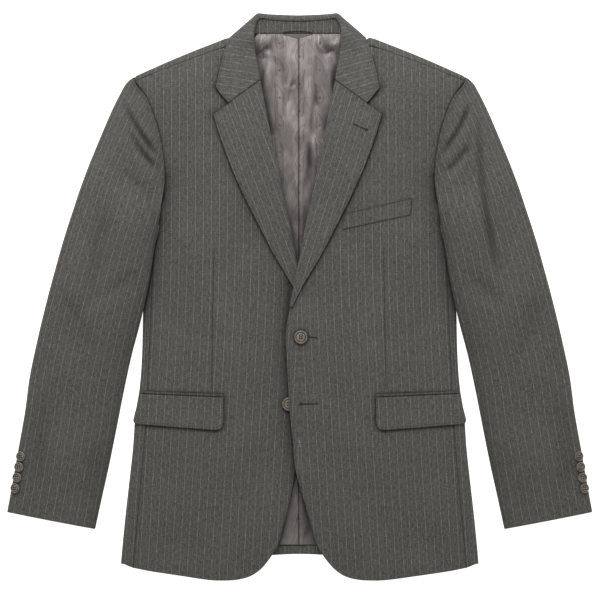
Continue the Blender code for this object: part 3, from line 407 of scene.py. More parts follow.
def column(table, key, value, at):
    """A table's column read at a place along another column, as a smooth curve."""
    xs = np.array([getattr(row, key) for row in table], float)
    ys = np.array([getattr(row, value) for row in table], float)
    if xs[0] > xs[-1]:
        xs, ys = xs[::-1], ys[::-1]
    step, rise = np.diff(xs), np.diff(ys)
    slope = rise / step
    tangent = np.concatenate([[slope[0]], (slope[:-1] + slope[1:]) / 2, [slope[-1]]])
    turning = slope[:-1] * slope[1:] <= 0
    tangent[1:-1][turning] = 0
    limit = 3 * np.minimum(np.abs(np.append(slope[0], slope)), np.abs(np.append(slope, slope[-1])))
    tangent = np.clip(tangent, -limit, limit)
    at = np.clip(np.asarray(at, float), xs[0], xs[-1])
    i = np.clip(np.searchsorted(xs, at, side="right") - 1, 0, len(step) - 1)
    t = (at - xs[i]) / step[i]
    return (
        ys[i] * (2 * t**3 - 3 * t**2 + 1)
        + ys[i + 1] * (3 * t**2 - 2 * t**3)
        + tangent[i] * step[i] * (t**3 - 2 * t**2 + t)
        + tangent[i + 1] * step[i] * (t**3 - t**2)
    )


def along(points, fractions, before=None, after=None):
    """Places at these shares of the length of a smooth curve through points.

    before and after are points past its ends, where it runs on into another curve.
    """
    points = np.asarray(points, float)
    before = 2 * points[0] - points[1] if before is None else before
    after = 2 * points[-1] - points[-2] if after is None else after
    ends = np.vstack([before, points, after])
    fine = []
    for i in range(len(points) - 1):
        a, b, c, d = ends[i : i + 4]
        t = np.linspace(0, 1, 12, endpoint=False)[:, None]
        square, cube = 2 * a - 5 * b + 4 * c - d, 3 * b - a - 3 * c + d
        fine.append(0.5 * (2 * b + (c - a) * t + square * t**2 + cube * t**3))
    fine = np.vstack(fine + [points[-1:]])
    length = np.concatenate([[0], np.cumsum(np.linalg.norm(np.diff(fine, axis=0), axis=1))])
    wanted = np.asarray(fractions) * length[-1]
    return np.stack([np.interp(wanted, length, fine[:, k]) for k in range(fine.shape[1])], axis=1)


def shares(points):
    """How far along a polyline each of its points is, from 0 to 1."""
    steps = np.linalg.norm(np.diff(points, axis=0), axis=1)
    length = np.concatenate([[0], np.cumsum(steps)])
    return length / length[-1]


def patch(bottom, top, left, right):
    """A grid of plan points between four edges."""
    u = shares(bottom)[None, :, None] * 0.5 + shares(top)[None, :, None] * 0.5
    v = shares(left)[:, None, None] * 0.5 + shares(right)[:, None, None] * 0.5
    ruled = (1 - v) * bottom[None] + v * top[None] + (1 - u) * left[:, None] + u * right[:, None]
    corners = (1 - u) * (1 - v) * bottom[0] + u * (1 - v) * bottom[-1]
    return ruled - corners - (1 - u) * v * top[0] - u * v * top[-1]


def resample(grid, spacing, ends=(False, False), corners=()):
    """Rows of points made closer along smooth curves through them, and closer still at edges.

    The last axis holds a point of the outer face and then one of the inner face. Rows named as
    corners keep their angle.
    """
    step = np.linalg.norm(np.diff(grid[..., :3], axis=0), axis=-1).mean(axis=1)
    step = np.maximum(step, 1e-6)
    knots = np.concatenate([[0], np.cumsum(step)])
    places = [knots[-1:]]
    for i, length in enumerate(step):
        count = max(1, int(np.ceil(length / spacing)))
        places.append(np.linspace(knots[i], knots[i + 1], count, endpoint=False))
    close = np.array([d for d in EDGE_STEPS if d < knots[-1] / 3])
    if ends[0]:
        places.append(close)
    if ends[1]:
        places.append(knots[-1] - close)
    places = np.clip(np.unique(np.concatenate(places).round(3)), 0, knots[-1])
    slope = np.diff(grid, axis=0) / step[:, None, None]
    before, after = step[:-1, None, None], step[1:, None, None]
    inner = (after * slope[:-1] + before * slope[1:]) / (before + after)
    tangent = np.concatenate([slope[:1], inner, slope[-1:]])
    starts, stops = tangent[:-1].copy(), tangent[1:].copy()
    for k in corners:
        stops[k - 1] = slope[k - 1]
        starts[k] = slope[k]
    i = np.clip(np.searchsorted(knots, places, side="right") - 1, 0, len(step) - 1)
    h = step[i][:, None, None]
    t = (places[:, None, None] - knots[i][:, None, None]) / h
    return (
        grid[i] * (2 * t**3 - 3 * t**2 + 1)
        + grid[i + 1] * (3 * t**2 - 2 * t**3)
        + starts[i] * h * (t**3 - 2 * t**2 + t)
        + stops[i] * h * (t**3 - t**2)
    )


def refined(outer, inner, spacing, rows, cols, corners=()):
    """Both faces of a wall with more rows and columns. rows and cols say which ends are edges."""
    both = np.concatenate([outer, inner], axis=2)
    both = resample(both, spacing, rows, corners)
    both = resample(both.swapaxes(0, 1), spacing, cols).swapaxes(0, 1)
    return both[..., :3].copy(), both[..., 3:].copy()


def run_across(grid):
    """How far along its row each point of a grid is."""
    steps = np.linalg.norm(np.diff(grid, axis=1), axis=-1)
    return np.concatenate([np.zeros((len(grid), 1)), np.cumsum(steps, axis=1)], axis=1)


def run_down(grid):
    """How far down its column each point of a grid is."""
    return run_across(grid.swapaxes(0, 1)).T


def folds_at(x, y, folds):
    """Height of the listed folds: each swells along a bowed line and dies away at its ends."""
    total = np.zeros_like(x)
    for fold in folds:
        way = np.array([fold.x2 - fold.x1, fold.y2 - fold.y1])
        length = np.linalg.norm(way)
        t = ((x - fold.x1) * way[0] + (y - fold.y1) * way[1]) / length**2
        off = ((y - fold.y1) * way[0] - (x - fold.x1) * way[1]) / length - fold.bow * 4 * t * (1 - t)
        ends = smooth(t * 3.2) * smooth((1 - t) * 3.2)
        uneven = 1 + 0.22 * np.sin(5.3 * t + 0.11 * fold.x1)
        total += fold.height * ends * uneven * np.exp(-((off / fold.width) ** 2))
    return total


def away_from(x, y, line):
    """Distance in plan from a polyline."""
    best = np.full_like(x, 1e9)
    for (x1, y1), (x2, y2) in zip(line, line[1:]):
        way = np.array([x2 - x1, y2 - y1])
        t = np.clip(((x - x1) * way[0] + (y - y1) * way[1]) / (way @ way), 0, 1)
        best = np.minimum(best, np.hypot(x - x1 - t * way[0], y - y1 - t * way[1]))
    return best


def shoulder_line(out):
    """Y of the shoulder's top edge at a distance out from the middle."""
    below_fall = NECK_DIP * smooth((SHOULDER_NECK + 5 - out) / 16)
    out = np.clip(out, SHOULDER_NECK, SHOULDER_TIP + 10)
    rise = SHOULDER_BULGE * np.sin(np.pi * (out - SHOULDER_NECK) / (SHOULDER_TIP - SHOULDER_NECK))
    return SHOULDER_TOP - SHOULDER_SLOPE * (out - SHOULDER_NECK) + rise - below_fall


def laid_height(x, y):
    """Z of the outer face of the fronts before they lap."""
    edge, crown = column(BODY, "y", "edge", y), column(BODY, "y", "crown", y)
    share = np.abs(x) / column(BODY, "y", "half_width", y)
    across = np.maximum(0, 1 - share**CROWN_POWER)
    below = np.maximum(0, shoulder_line(np.abs(x)) - y)
    return edge + (crown - edge) * across * (1 - np.exp(-below / SHOULDER_FALL))


def shoulder_top(x, y):
    """Z of the upper face beside a sleeve's head, which rounds down over the shoulder's edge."""
    radius = laid_height(x, y) / 2
    past = np.clip(y - (shoulder_line(x) - radius), 0, radius)
    return radius + np.sqrt(radius**2 - past**2)


def front_height(x, y, side):
    """Z of the outer face of one front: they part near the closure, where one laps the other."""
    near = smooth((95 - np.abs(x - CENTRE)) / 70) * smooth((150 - y) / 90)
    hem_ward = 0.35 + 0.65 * smooth((y + 345) / 110)
    return laid_height(x, y) + (3.6 if side == OVER else -4.0) * near * hem_ward


def body_top(x, y, wider=0.0):
    """Z of the body's upper face out to its folded side, which can be taken a little wider."""
    radius = column(BODY, "y", "edge", y) / 2
    past = np.abs(x) - (column(BODY, "y", "half_width", y) + wider - radius)
    round_edge = radius + np.sqrt(np.maximum(0, radius**2 - np.clip(past, 0, radius) ** 2))
    return np.where(past <= 0, laid_height(x, y), round_edge)


def floor_height(x, y):
    """Z of the back's lower face: on the surface, but up on the collar's fall at the neck."""
    out = np.abs(x - CENTRE)
    up = smooth((y - FALL_RAMP_FROM) / (FALL_RAMP_TO - FALL_RAMP_FROM))
    return FALL_LIFT * up * smooth((FALL_SIDE_TO - out) / (FALL_SIDE_TO - FALL_SIDE_FROM))


def lining_height(x, y):
    """Z of the back lining's face: over the back, with its folds."""
    base = floor_height(x, y) + BACK_WALL + LINING_EASE + LINING_WALL
    below_neck = smooth((NECK_SEAM - 10 - y) / 60)
    fold_out = NECK_FOLD_OUT + NECK_FOLD_SWING * np.sin(y / 34)
    from_fold = (np.abs(x - CENTRE) - fold_out) / NECK_FOLD_WIDTH
    side_fold = NECK_FOLD_HEIGHT * np.exp(-(from_fold**2)) * smooth((y - 90) / 120)
    pleat = PLEAT_HEIGHT * np.exp(-(((x - PLEAT_X) / PLEAT_WIDTH) ** 2))
    ripple = RIPPLE_HEIGHT * (1 + np.sin(y / 17 + x / 13))
    return base + (side_fold + pleat + ripple) * below_neck


# ---------------------------------------------------------------- where the stripes run


def body_cut(points):
    """Cut coordinates of the fronts and what lies on them: stripes lean outwards on the skirt."""
    x, y = points[..., 0], points[..., 1]
    below = np.log1p(np.exp((SKIRT_LEAN_Y - y) / SKIRT_LEAN_RAMP)) * SKIRT_LEAN_RAMP
    return np.stack([np.abs(x) - SKIRT_LEAN * below, y], axis=-1)


def leaning_cut(points, lean):
    """Cut coordinates whose stripes lean in towards the closure as they go down."""
    size = np.hypot(1.0, lean)
    out, y = np.abs(points[..., 0] - CENTRE), points[..., 1]
    return np.stack([(out - lean * y) / size, (y + lean * out) / size], axis=-1)


# ---------------------------------------------------------------- shells


# A piece of cloth: its outer and inner points, and the painted shade on the outer ones in seams, beside edges
# and in folds.
Wall = namedtuple("Wall", "outer inner shade")


def sided(name, side):
    return f"{name}_{'left' if side == OVER else 'right'}"


def press_edges(outer, inner, seams="", finished="", stitched=""):
    """Shapes a wall's edges, each named by f and l for first and last row, s and e for columns.

    A sewn edge turns in and is painted with shade, a finished one is rounded with painted shade at its
    very edge, and a stitched one is drawn in along its row of stitches, with faint painted shade there.
    """
    across, down = run_across(outer), run_down(outer)
    from_edge = {"f": down, "l": down[-1:] - down, "s": across, "e": across[:, -1:] - across}
    wall = np.linalg.norm(outer - inner, axis=-1, keepdims=True)
    inward = (inner - outer) / wall
    sink = np.zeros(outer.shape[:2])
    lift = np.zeros(outer.shape[:2])
    shade = np.zeros(outer.shape[:2])
    for edge in seams:
        near = from_edge[edge]
        sink = np.maximum(sink, 0.9 * np.exp(-((near / 0.9) ** 2)))
        shade = np.maximum(shade, 0.42 * np.exp(-((near / 0.55) ** 2)) + 0.05 * np.exp(-near / 4))
    for edge in finished:
        near = from_edge[edge]
        turned = 1 - np.sqrt(np.clip(1 - (1 - near / 1.3).clip(0) ** 2, 0, 1))
        sink = np.maximum(sink, 0.62 * turned)
        lift = np.maximum(lift, 0.5 * turned)
        shade = np.maximum(shade, 0.4 * np.exp(-((near / 0.6) ** 2)))
    for edge in stitched:
        near = from_edge[edge] - PICK_INSET
        sink = sink + 0.30 * np.exp(-((near / 0.9) ** 2)) - 0.16 * np.exp(-(((near + 1.4) / 0.8) ** 2))
        shade = shade + 0.1 * np.exp(-((near / 1.0) ** 2))
    limit = 0.6 * wall[..., 0]
    outer = outer + inward * np.minimum(sink, limit)[..., None]
    inner = inner - inward * np.minimum(lift, 0.5 * limit)[..., None]
    return Wall(outer, inner, np.clip(shade, 0, 0.95))


def shaded(wall, *lines):
    """The wall with painted shadow beside lines in plan, each with its strength and its reach."""
    shade, x, y = wall.shade, wall.outer[..., 0], wall.outer[..., 1]
    for line, strength, reach in lines:
        near = strength * np.exp(-away_from(x, y, line) / reach)
        shade = 1 - (1 - shade) * (1 - near)
    return wall._replace(shade=shade)


def grid_faces(rows, cols):
    """Quads of the two faces and the rim of a wall whose faces are grids of points."""
    count = rows * cols
    index = np.arange(count).reshape(rows, cols)
    a, b = index[:-1, :-1].ravel(), index[:-1, 1:].ravel()
    c, d = index[1:, 1:].ravel(), index[1:, :-1].ravel()
    rim = np.concatenate([index[0, :], index[1:, -1], index[-1, -2::-1], index[-2:0:-1, 0]])
    ahead = np.roll(rim, -1)
    return np.concatenate(
        [
            np.stack([a, b, c, d], axis=1),
            np.stack([d, c, b, a], axis=1) + count,
            np.stack([ahead, rim, rim + count, ahead + count], axis=1),
        ]
    )


def new_object(name, points, faces, material=None):
    """An object from points in millimetres and faces."""
    mesh = bpy.data.meshes.new(name)
    mesh.from_pydata((np.asarray(points) * MM).tolist(), [], faces)
    if material:
        mesh.materials.append(material)
    made = bpy.data.objects.new(name, mesh)
    bpy.context.scene.collection.objects.link(made)
    return made


def add_mesh(name, points, faces, material, cut, shade):
    """A piece's mesh, with faces turned outwards and its cut as a UV map."""
    corner = points[faces]
    volume = 0.0
    for k in range(1, faces.shape[1] - 1):
        volume += np.einsum("ij,ij->", corner[:, 0], np.cross(corner[:, k], corner[:, k + 1]))
    if volume < 0:
        faces = faces[:, ::-1]
    made = new_object(name, points, faces.tolist(), material)
    mesh = made.data
    vertex = np.zeros(len(mesh.loops), np.int32)
    mesh.loops.foreach_get("vertex_index", vertex)
    layer = mesh.uv_layers.new(name="cut")
    layer.data.foreach_set("uv", (cut[vertex] * MM).astype(np.float32).ravel())
    mesh.attributes.new("shade", "FLOAT", "POINT").data.foreach_set("value", shade.ravel())
    mesh.shade_smooth()
    mesh.set_sharp_from_angle(angle=np.radians(60))
    return made


def add_shell(name, wall, cut, material, node=None, size=None):
    """A piece of cloth as a closed wall, with its cut as a UV map, in place of its hidden CAD part.

    The size is that of the cut coordinates, unless they fold over and another one is given.
    """
    rows, cols = wall.outer.shape[:2]
    points = np.concatenate([wall.outer.reshape(-1, 3), wall.inner.reshape(-1, 3)])
    points[:, 2] = np.maximum(points[:, 2], 0.0)  # nothing reaches below the surface
    flat = cut.reshape(-1, 2)
    both = np.concatenate([flat, flat])
    # the inner face, which hardly shows, gets an even painted half shade
    shade = np.concatenate([wall.shade, np.full((rows, cols), 0.5)]).astype(np.float32)
    made = add_mesh(name, points, grid_faces(rows, cols), material, both, shade)
    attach(made, "root")
    if node:
        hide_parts(node)
    size = np.maximum(np.ptp(flat, axis=0) if size is None else size, 10.0) * MM
    area = cloth_area((wall.outer + wall.inner) / 2) * MM * MM
    area = float(np.clip(area, 0.3 * size[0] * size[1], size[0] * size[1]))


def cloth_area(grid):
    """Area of a grid of points."""
    a, b = grid[1:, 1:] - grid[:-1, :-1], grid[1:, :-1] - grid[:-1, 1:]
    return np.linalg.norm(np.cross(a, b), axis=-1).sum() / 2


def flat_wall(plan, z_outer, thickness):
    """Outer and inner points of a panel that lies nearly level."""
    outer = np.concatenate([plan, z_outer[..., None]], axis=2)
    return outer, outer - [0, 0, thickness]


# ---------------------------------------------------------------- materials


class Graph:
    """Short calls that add linked nodes to a node tree."""

    def __init__(self, tree):
        self.tree = tree

    def add(self, kind, *values, named=None, **settings):
        """A node with its attributes set, and its inputs filled in order or by name."""
        node = self.tree.nodes.new(kind)
        for key, value in settings.items():
            setattr(node, key, value)
        for key, value in [*enumerate(values), *(named or {}).items()]:
            self.fill(node.inputs[key], value)
        return node

    def fill(self, socket, value):
        if isinstance(value, bpy.types.NodeSocket):
            self.tree.links.new(value, socket)
        elif value is not None:
            socket.default_value = value

    def math(self, operation, *values):
        return self.add("ShaderNodeMath", *values, operation=operation).outputs[0]

    def total(self, *values):
        found = values[0]
        for value in values[1:]:
            found = self.math("ADD", found, value)
        return found

    def product(self, *values):
        found = values[0]
        for value in values[1:]:
            found = self.math("MULTIPLY", found, value)
        return found

    def ramp(self, value, low, high, start=0.0, stop=1.0):
        """The value eased from one range to another, and held at its ends."""
        node = self.add("ShaderNodeMapRange", value, low, high, start, stop)
        node.interpolation_type = "SMOOTHSTEP"
        return node.outputs[0]

    def vector(self, x, y, z=0.0):
        return self.add("ShaderNodeCombineXYZ", x, y, z).outputs[0]

    def noise(self, place, scale, detail=2.0, roughness=0.5):
        named = {"Vector": place, "Scale": scale, "Detail": detail, "Roughness": roughness}
        return self.add("ShaderNodeTexNoise", named=named).outputs[0]

    def blend(self, share, first, second):
        node = self.add("ShaderNodeMix", data_type="RGBA")
        self.fill(node.inputs[0], share)
        self.fill(node.inputs[6], first)
        self.fill(node.inputs[7], second)
        return node.outputs[2]

    def bump(self, height, distance, strength=1.0):
        named = {"Height": height, "Distance": distance, "Strength": strength}
        return self.add("ShaderNodeBump", named=named).outputs[0]

    def with_painted_shade(self, colour):
        """The colour, darkened by the painted shade of the shade attribute where cloth lies in a seam or
        under an edge.
        """
        shade = self.add("ShaderNodeAttribute", attribute_name="shade").outputs["Fac"]
        return self.blend(shade, colour, (0.007, 0.0065, 0.006, 1.0))

    def cut(self):
        """The piece's own cut coordinates: across the warp, and along it."""
        place = self.add("ShaderNodeUVMap", uv_map="cut").outputs[0]
        parts = self.add("ShaderNodeSeparateXYZ", place)
        return place, parts.outputs[0], parts.outputs[1]


def new_material(name):
    made = bpy.data.materials.new(name)
    made.use_nodes = True
    return made, Graph(made.node_tree), made.node_tree.nodes["Principled BSDF"]


def with_alpha(colour, strength=1.0):
    return (*[channel * strength for channel in colour], 1.0)


def wool(context):
    """Melange wool with dashed pale pinstripes, every other one fainter."""
    if "pinstriped_wool" in bpy.data.materials:
        return bpy.data.materials["pinstriped_wool"]
    look = context.scene.blazer_wool
    made, graph, shader = new_material("pinstriped_wool")
    place, across, warp = graph.cut()
    half_pitch = look.stripe_pitch / 2
    step = graph.math("DIVIDE", across, half_pitch)
    number = graph.math("ROUND", step)
    off = graph.product(graph.math("ABSOLUTE", graph.math("SUBTRACT", step, number)), half_pitch)
    line = graph.ramp(off, 0.25 * look.stripe_width, look.stripe_width, 1.0, 0.0)
    odd = graph.math("ABSOLUTE", graph.math("MODULO", number, 2.0))
    strength = graph.ramp(odd, 0.2, 0.8, 1.0, look.faint_stripe)
    dash_at = graph.vector(graph.product(number, 5.37), graph.product(warp, 1 / look.dash_length))
    dash = graph.ramp(graph.noise(dash_at, 1.0, 4.0, 0.75), 0.38, 0.62, 0.28, 1.0)
    bead_at = graph.vector(graph.product(number, 3.19), graph.product(warp, 420.0))
    bead = graph.ramp(graph.noise(bead_at, 1.0, 1.0, 0.5), 0.35, 0.62, 0.45, 1.0)
    stripe = graph.product(line, strength, dash, bead, look.stripe_strength)
    streak_at = graph.vector(graph.product(across, 640.0), graph.product(warp, 130.0))
    streak = graph.noise(streak_at, 1.0, 3.0, 0.6)
    weft_at = graph.vector(graph.product(across, 170.0), graph.product(warp, 640.0))
    weft = graph.noise(weft_at, 1.0, 2.0, 0.6)
    fleck = graph.noise(place, 640.0, 3.0, 0.75)
    cloud = graph.noise(place, 14.0, 3.0, 0.6)
    tone = graph.total(
        graph.product(streak, 0.36),
        graph.product(weft, 0.2),
        graph.product(fleck, 0.36),
        graph.product(cloud, 0.08),
    )
    tone = graph.ramp(tone, 0.5 - look.melange, 0.5 + look.melange)
    ground = graph.blend(tone, with_alpha(look.dark_fibre), with_alpha(look.light_fibre))
    colour = graph.blend(stripe, ground, with_alpha(look.stripe))
    graph.fill(shader.inputs["Base Color"], graph.with_painted_shade(colour))
    twill_at = graph.product(graph.total(across, graph.product(warp, 0.7)), 2 * np.pi / look.twill_pitch)
    twill = graph.math("SINE", twill_at)
    height = graph.total(graph.product(twill, 0.25), graph.product(fleck, 1.2), graph.product(stripe, 0.3))
    graph.fill(shader.inputs["Normal"], graph.bump(height, look.relief))
    shader.inputs["Roughness"].default_value = 0.88
    shader.inputs["Specular IOR Level"].default_value = 0.25
    shader.inputs["Sheen Weight"].default_value = 0.12
    shader.inputs["Sheen Roughness"].default_value = 0.5
    shader.inputs["Sheen Tint"].default_value = (0.8, 0.79, 0.76, 1.0)
    return made


def satin(context):
    """Satin lining with a tonal woven paisley of the maker's own drawing."""
    if "satin_lining" in bpy.data.materials:
        return bpy.data.materials["satin_lining"]
    look = context.scene.blazer_lining
    made, graph, shader = new_material("satin_lining")
    _, across, warp = graph.cut()
    large = paisley(graph, across, warp, look.repeat)
    moved_across, moved_warp = graph.total(across, look.repeat / 3), graph.total(warp, look.repeat / 5)
    small = graph.product(paisley(graph, moved_across, moved_warp, look.repeat * 0.42), 0.65)
    motif = graph.math("MAXIMUM", large, small)
    # random lighter and darker streaks along the warp: painted sheen that stands in for light on the satin's
    # soft undulations
    cloud = graph.noise(graph.vector(graph.product(across, 48.0), graph.product(warp, 19.0)), 1.0, 2.0, 0.45)
    # painted shade: the ground darkens towards the hem, blending into the shade colour
    down = graph.ramp(warp, -0.30, 0.30, 0.40, 1.0)
    dim, bright = with_alpha(look.colour, 0.74), with_alpha(look.colour, 1.28)
    base = graph.blend(graph.ramp(cloud, 0.36, 0.64), dim, bright)
    figured = graph.blend(graph.product(motif, look.figure), base, with_alpha(look.figure_colour))
    shaded_ground = graph.blend(down, with_alpha(look.shade_colour), figured)
    graph.fill(shader.inputs["Base Color"], graph.with_painted_shade(shaded_ground))
    graph.fill(shader.inputs["Roughness"], graph.ramp(motif, 0.0, 1.0, 0.32, 0.5))
    rib = graph.math("SINE", graph.product(warp, 2 * np.pi / 0.0006))
    wrinkle = graph.noise(graph.vector(graph.product(across, 64.0), graph.product(warp, 28.0)), 1.0, 1.0, 0.4)
    height = graph.total(graph.product(rib, 0.02), graph.product(motif, 0.3), graph.product(wrinkle, 7.0))
    graph.fill(shader.inputs["Normal"], graph.bump(height, look.relief))
    shader.inputs["Specular IOR Level"].default_value = 0.5
    shader.inputs["Sheen Weight"].default_value = 0.1
    shader.inputs["Sheen Roughness"].default_value = 0.35
    return made


def paisley(graph, across, warp, repeat):
    """A bent drop with an inner drop, a seed and a trailing stem, in a half-drop repeat."""
    column_at = graph.math("DIVIDE", across, repeat)
    number = graph.math("ROUND", column_at)
    p = graph.product(graph.math("SUBTRACT", column_at, number), 2.6)
    odd = graph.math("ABSOLUTE", graph.math("MODULO", number, 2.0))
    row_at = graph.total(graph.math("DIVIDE", warp, repeat * 1.35), graph.product(odd, 0.5))
    q = graph.product(graph.math("SUBTRACT", row_at, graph.math("ROUND", row_at)), 2.7)
    turned = graph.math("SUBTRACT", 1.0, graph.product(odd, 2.0))
    p = graph.product(p, turned)
    above = graph.math("MAXIMUM", graph.total(q, 0.25), 0.0)
    p = graph.math("SUBTRACT", p, graph.product(above, above, 0.42))
    inside = graph.math("MAXIMUM", graph.math("SUBTRACT", 1.0, graph.product(q, q)), 0.0)
    taper = graph.math("MAXIMUM", graph.math("SUBTRACT", 1.0, q), 0.0)
    width = graph.product(graph.math("SQRT", graph.product(inside, taper)), 0.46)
    side = graph.math("ABSOLUTE", p)
    beyond = graph.math("SUBTRACT", side, width)
    outline = graph.ramp(graph.math("ABSOLUTE", beyond), 0.02, 0.065, 1.0, 0.0)
    second = graph.ramp(graph.math("ABSOLUTE", graph.total(beyond, 0.2)), 0.01, 0.045, 0.8, 0.0)
    middle = graph.ramp(graph.math("ABSOLUTE", graph.total(q, 0.15)), 0.45, 0.6, 1.0, 0.0)
    second = graph.product(second, middle)
    low = graph.total(q, 0.42)
    from_seed = graph.math("SQRT", graph.total(graph.product(p, p), graph.product(low, low)))
    seed = graph.ramp(from_seed, 0.1, 0.17, 1.0, 0.0)
    sway = graph.product(graph.math("SINE", graph.product(q, 3.6)), 0.16)
    stem = graph.ramp(graph.math("ABSOLUTE", graph.total(side, sway, -1.02)), 0.01, 0.05, 0.6, 0.0)
    within = graph.ramp(graph.math("ABSOLUTE", q), 0.99, 1.01, 1.0, 0.0)
    drop = graph.product(graph.math("MAXIMUM", graph.math("MAXIMUM", outline, second), seed), within)
    return graph.math("MAXIMUM", drop, stem)


def horn(context):
    """Mottled horn with a soft polish."""
    if "mottled_horn" in bpy.data.materials:
        return bpy.data.materials["mottled_horn"]
    look = context.scene.blazer_buttons
    made, graph, shader = new_material("mottled_horn")
    place = graph.add("ShaderNodeTexCoord").outputs["Object"]
    cloud = graph.noise(place, 170.0, 4.0, 0.6)
    grain = graph.noise(place, 900.0, 3.0, 0.6)
    tone = graph.ramp(graph.total(graph.product(cloud, 0.7), graph.product(grain, 0.3)), 0.36, 0.64)
    colour = graph.blend(tone, with_alpha(look.dark), with_alpha(look.light))
    graph.fill(shader.inputs["Base Color"], graph.with_painted_shade(colour))
    graph.fill(shader.inputs["Roughness"], graph.ramp(grain, 0.3, 0.7, 0.32, 0.5))
    graph.fill(shader.inputs["Normal"], graph.bump(grain, 0.00005))
    return made


def thread(context, name, colour):
    """Twisted sewing thread."""
    if name in bpy.data.materials:
        return bpy.data.materials[name]
    made, graph, shader = new_material(name)
    place = graph.add("ShaderNodeTexCoord").outputs["Object"]
    twist = graph.noise(place, 2600.0, 2.0, 0.6)
    mottled = graph.blend(twist, with_alpha(colour, 0.6), with_alpha(colour, 1.4))
    graph.fill(shader.inputs["Base Color"], mottled)
    graph.fill(shader.inputs["Normal"], graph.bump(twist, 0.00005))
    shader.inputs["Roughness"].default_value = 0.75
    return made


def loop_cloth(context):
    """The dull cloth of the patch below the loop."""
    if "loop_cloth" in bpy.data.materials:
        return bpy.data.materials["loop_cloth"]
    made, graph, shader = new_material("loop_cloth")
    place, _, _ = graph.cut()
    weave = graph.noise(place, 1500.0, 2.0, 0.6)
    colour = context.scene.blazer_lining.shade_colour
    woven = graph.blend(weave, with_alpha(colour, 0.9), with_alpha(colour, 1.3))
    graph.fill(shader.inputs["Base Color"], woven)
    graph.fill(shader.inputs["Normal"], graph.bump(weave, 0.00008))
    shader.inputs["Roughness"].default_value = 0.7
    return made


# ---------------------------------------------------------------- fronts, sides and back


def seam_points(table, outward=0.0):
    """A side seam from the hem to the underarm."""
    y = table[0].y + (UNDERARM - table[0].y) * np.linspace(0, 1, SEAM_ROWS)
    return np.stack([column(table, "y", "x", y) + outward, y], axis=1)


def armhole_points(rows, outward=0.0):
    """The front's armhole from the underarm up."""
    return along(ARMHOLE, np.linspace(0, 1, rows)) + [outward, 0]


def hem_points(side):
    """A front's hem in plan from its rounded corner, as distances from the garment's middle."""
    points = []
    for row in HEM:
        corner = smooth((HEM_SIDE_FROM - row.out) / (HEM_SIDE_FROM - HEM_CORNER_TO))
        points.append((row.out + side * CENTRE * float(corner), row.y))
    return points


def front_plan(side, cols=76):
    """Plan points of a front, from its side seam and armhole to its edge, roll line and neck."""
    armhole = armhole_points(FRONT_ARMHOLE_ROWS, -HALF_SEAM)
    left = np.vstack([seam_points(FRONT_SIDE_SEAM, -HALF_SEAM), armhole[1:]])
    roll = [(row.roll_out + PANEL_TUCK, row.roll_y) for row in reversed(LAPEL)]
    edge = [(row.over if side == OVER else row.under, row.y) for row in FRONT_EDGE]
    edge += roll[1:-1] + FRONT_NECK
    edge = [(out + side * CENTRE, y) for out, y in edge]
    hem = [place for place in hem_points(side) if place[0] < left[0, 0]]
    right = along(edge, shares(left), before=hem[1])
    bottom = along([left[0]] + hem[::-1], np.linspace(0, 1, cols), after=edge[1])
    outs = np.linspace(left[-1, 0], right[-1, 0], cols)
    drop = np.interp(outs, [NECK_POINT, SHOULDER_TIP], [SEAM_AT_NECK, SEAM_AT_TIP])
    drop += 1.2 * smooth((122 - outs) / 20)
    top = np.stack([outs, shoulder_line(outs) - drop - HALF_SEAM], axis=1)
    top[0], top[-1] = left[-1], right[-1]
    return along_dart(patch(bottom, top, left, right), DARTS[side]) * [side, 1]


def along_dart(plan, dart):
    """Moves a front's columns so that one runs down its dart, with four more beside it."""
    runs = run_across(plan)
    line = np.array(dart)[::-1]
    off = np.interp(plan[..., 1], line[:, 1], line[:, 0]) - plan[..., 0]
    at = np.array([np.interp(0, row, run) for row, run in zip(off, runs)])
    cols = plan.shape[1]
    column_at = int(round(float((at / runs[:, -1]).mean()) * (cols - 1)))
    moved = []
    for row, run, middle in zip(plan, runs, at):
        before = np.linspace(0, middle, column_at + 1)
        after = np.linspace(middle, run[-1], cols - column_at)[1:]
        extra = middle + np.array([-1.7, -0.8, 0.8, 1.7])
        places = np.sort(np.concatenate([before, extra, after]))
        moved.append([[np.interp(place, run, row[:, k]) for k in (0, 1)] for place in places])
    return np.array(moved)


def front_shell(side):
    """A front, with its dart and folds."""
    plan = front_plan(side)
    both = resample(np.concatenate([plan, 0 * plan], axis=2), EDGES_ALONE, (True, True))
    both = resample(both.swapaxes(0, 1), EDGES_ALONE, (True, True)).swapaxes(0, 1)
    x, y = both[..., 0], both[..., 1]
    sewn = np.exp(-((away_from(x, y, np.array(DARTS[side]) * [side, 1]) / DART_WIDTH) ** 2))
    z = front_height(x, y, side) + folds_at(x, y, BODY_FOLDS) - DART_DEPTH * sewn
    outer, inner = flat_wall(both[..., :2], z, FRONT_WALL)
    turn_in = SEAM_TURN + (ARMHOLE_TURN - SEAM_TURN) * smooth((y[:, 0] - 125) / 20)
    inner[:, 0, 0] += side * turn_in
    inner[-1, :, 1] += SEAM_TURN
    wall = press_edges(outer, inner, seams="sl", finished="fe", stitched="e")
    # painted shade along the dart's line, then painted shadows beside the edges that lie on the front
    wall = wall._replace(shade=np.maximum(wall.shade, 0.45 * sewn))
    return shaded(wall, *lines_above(side))


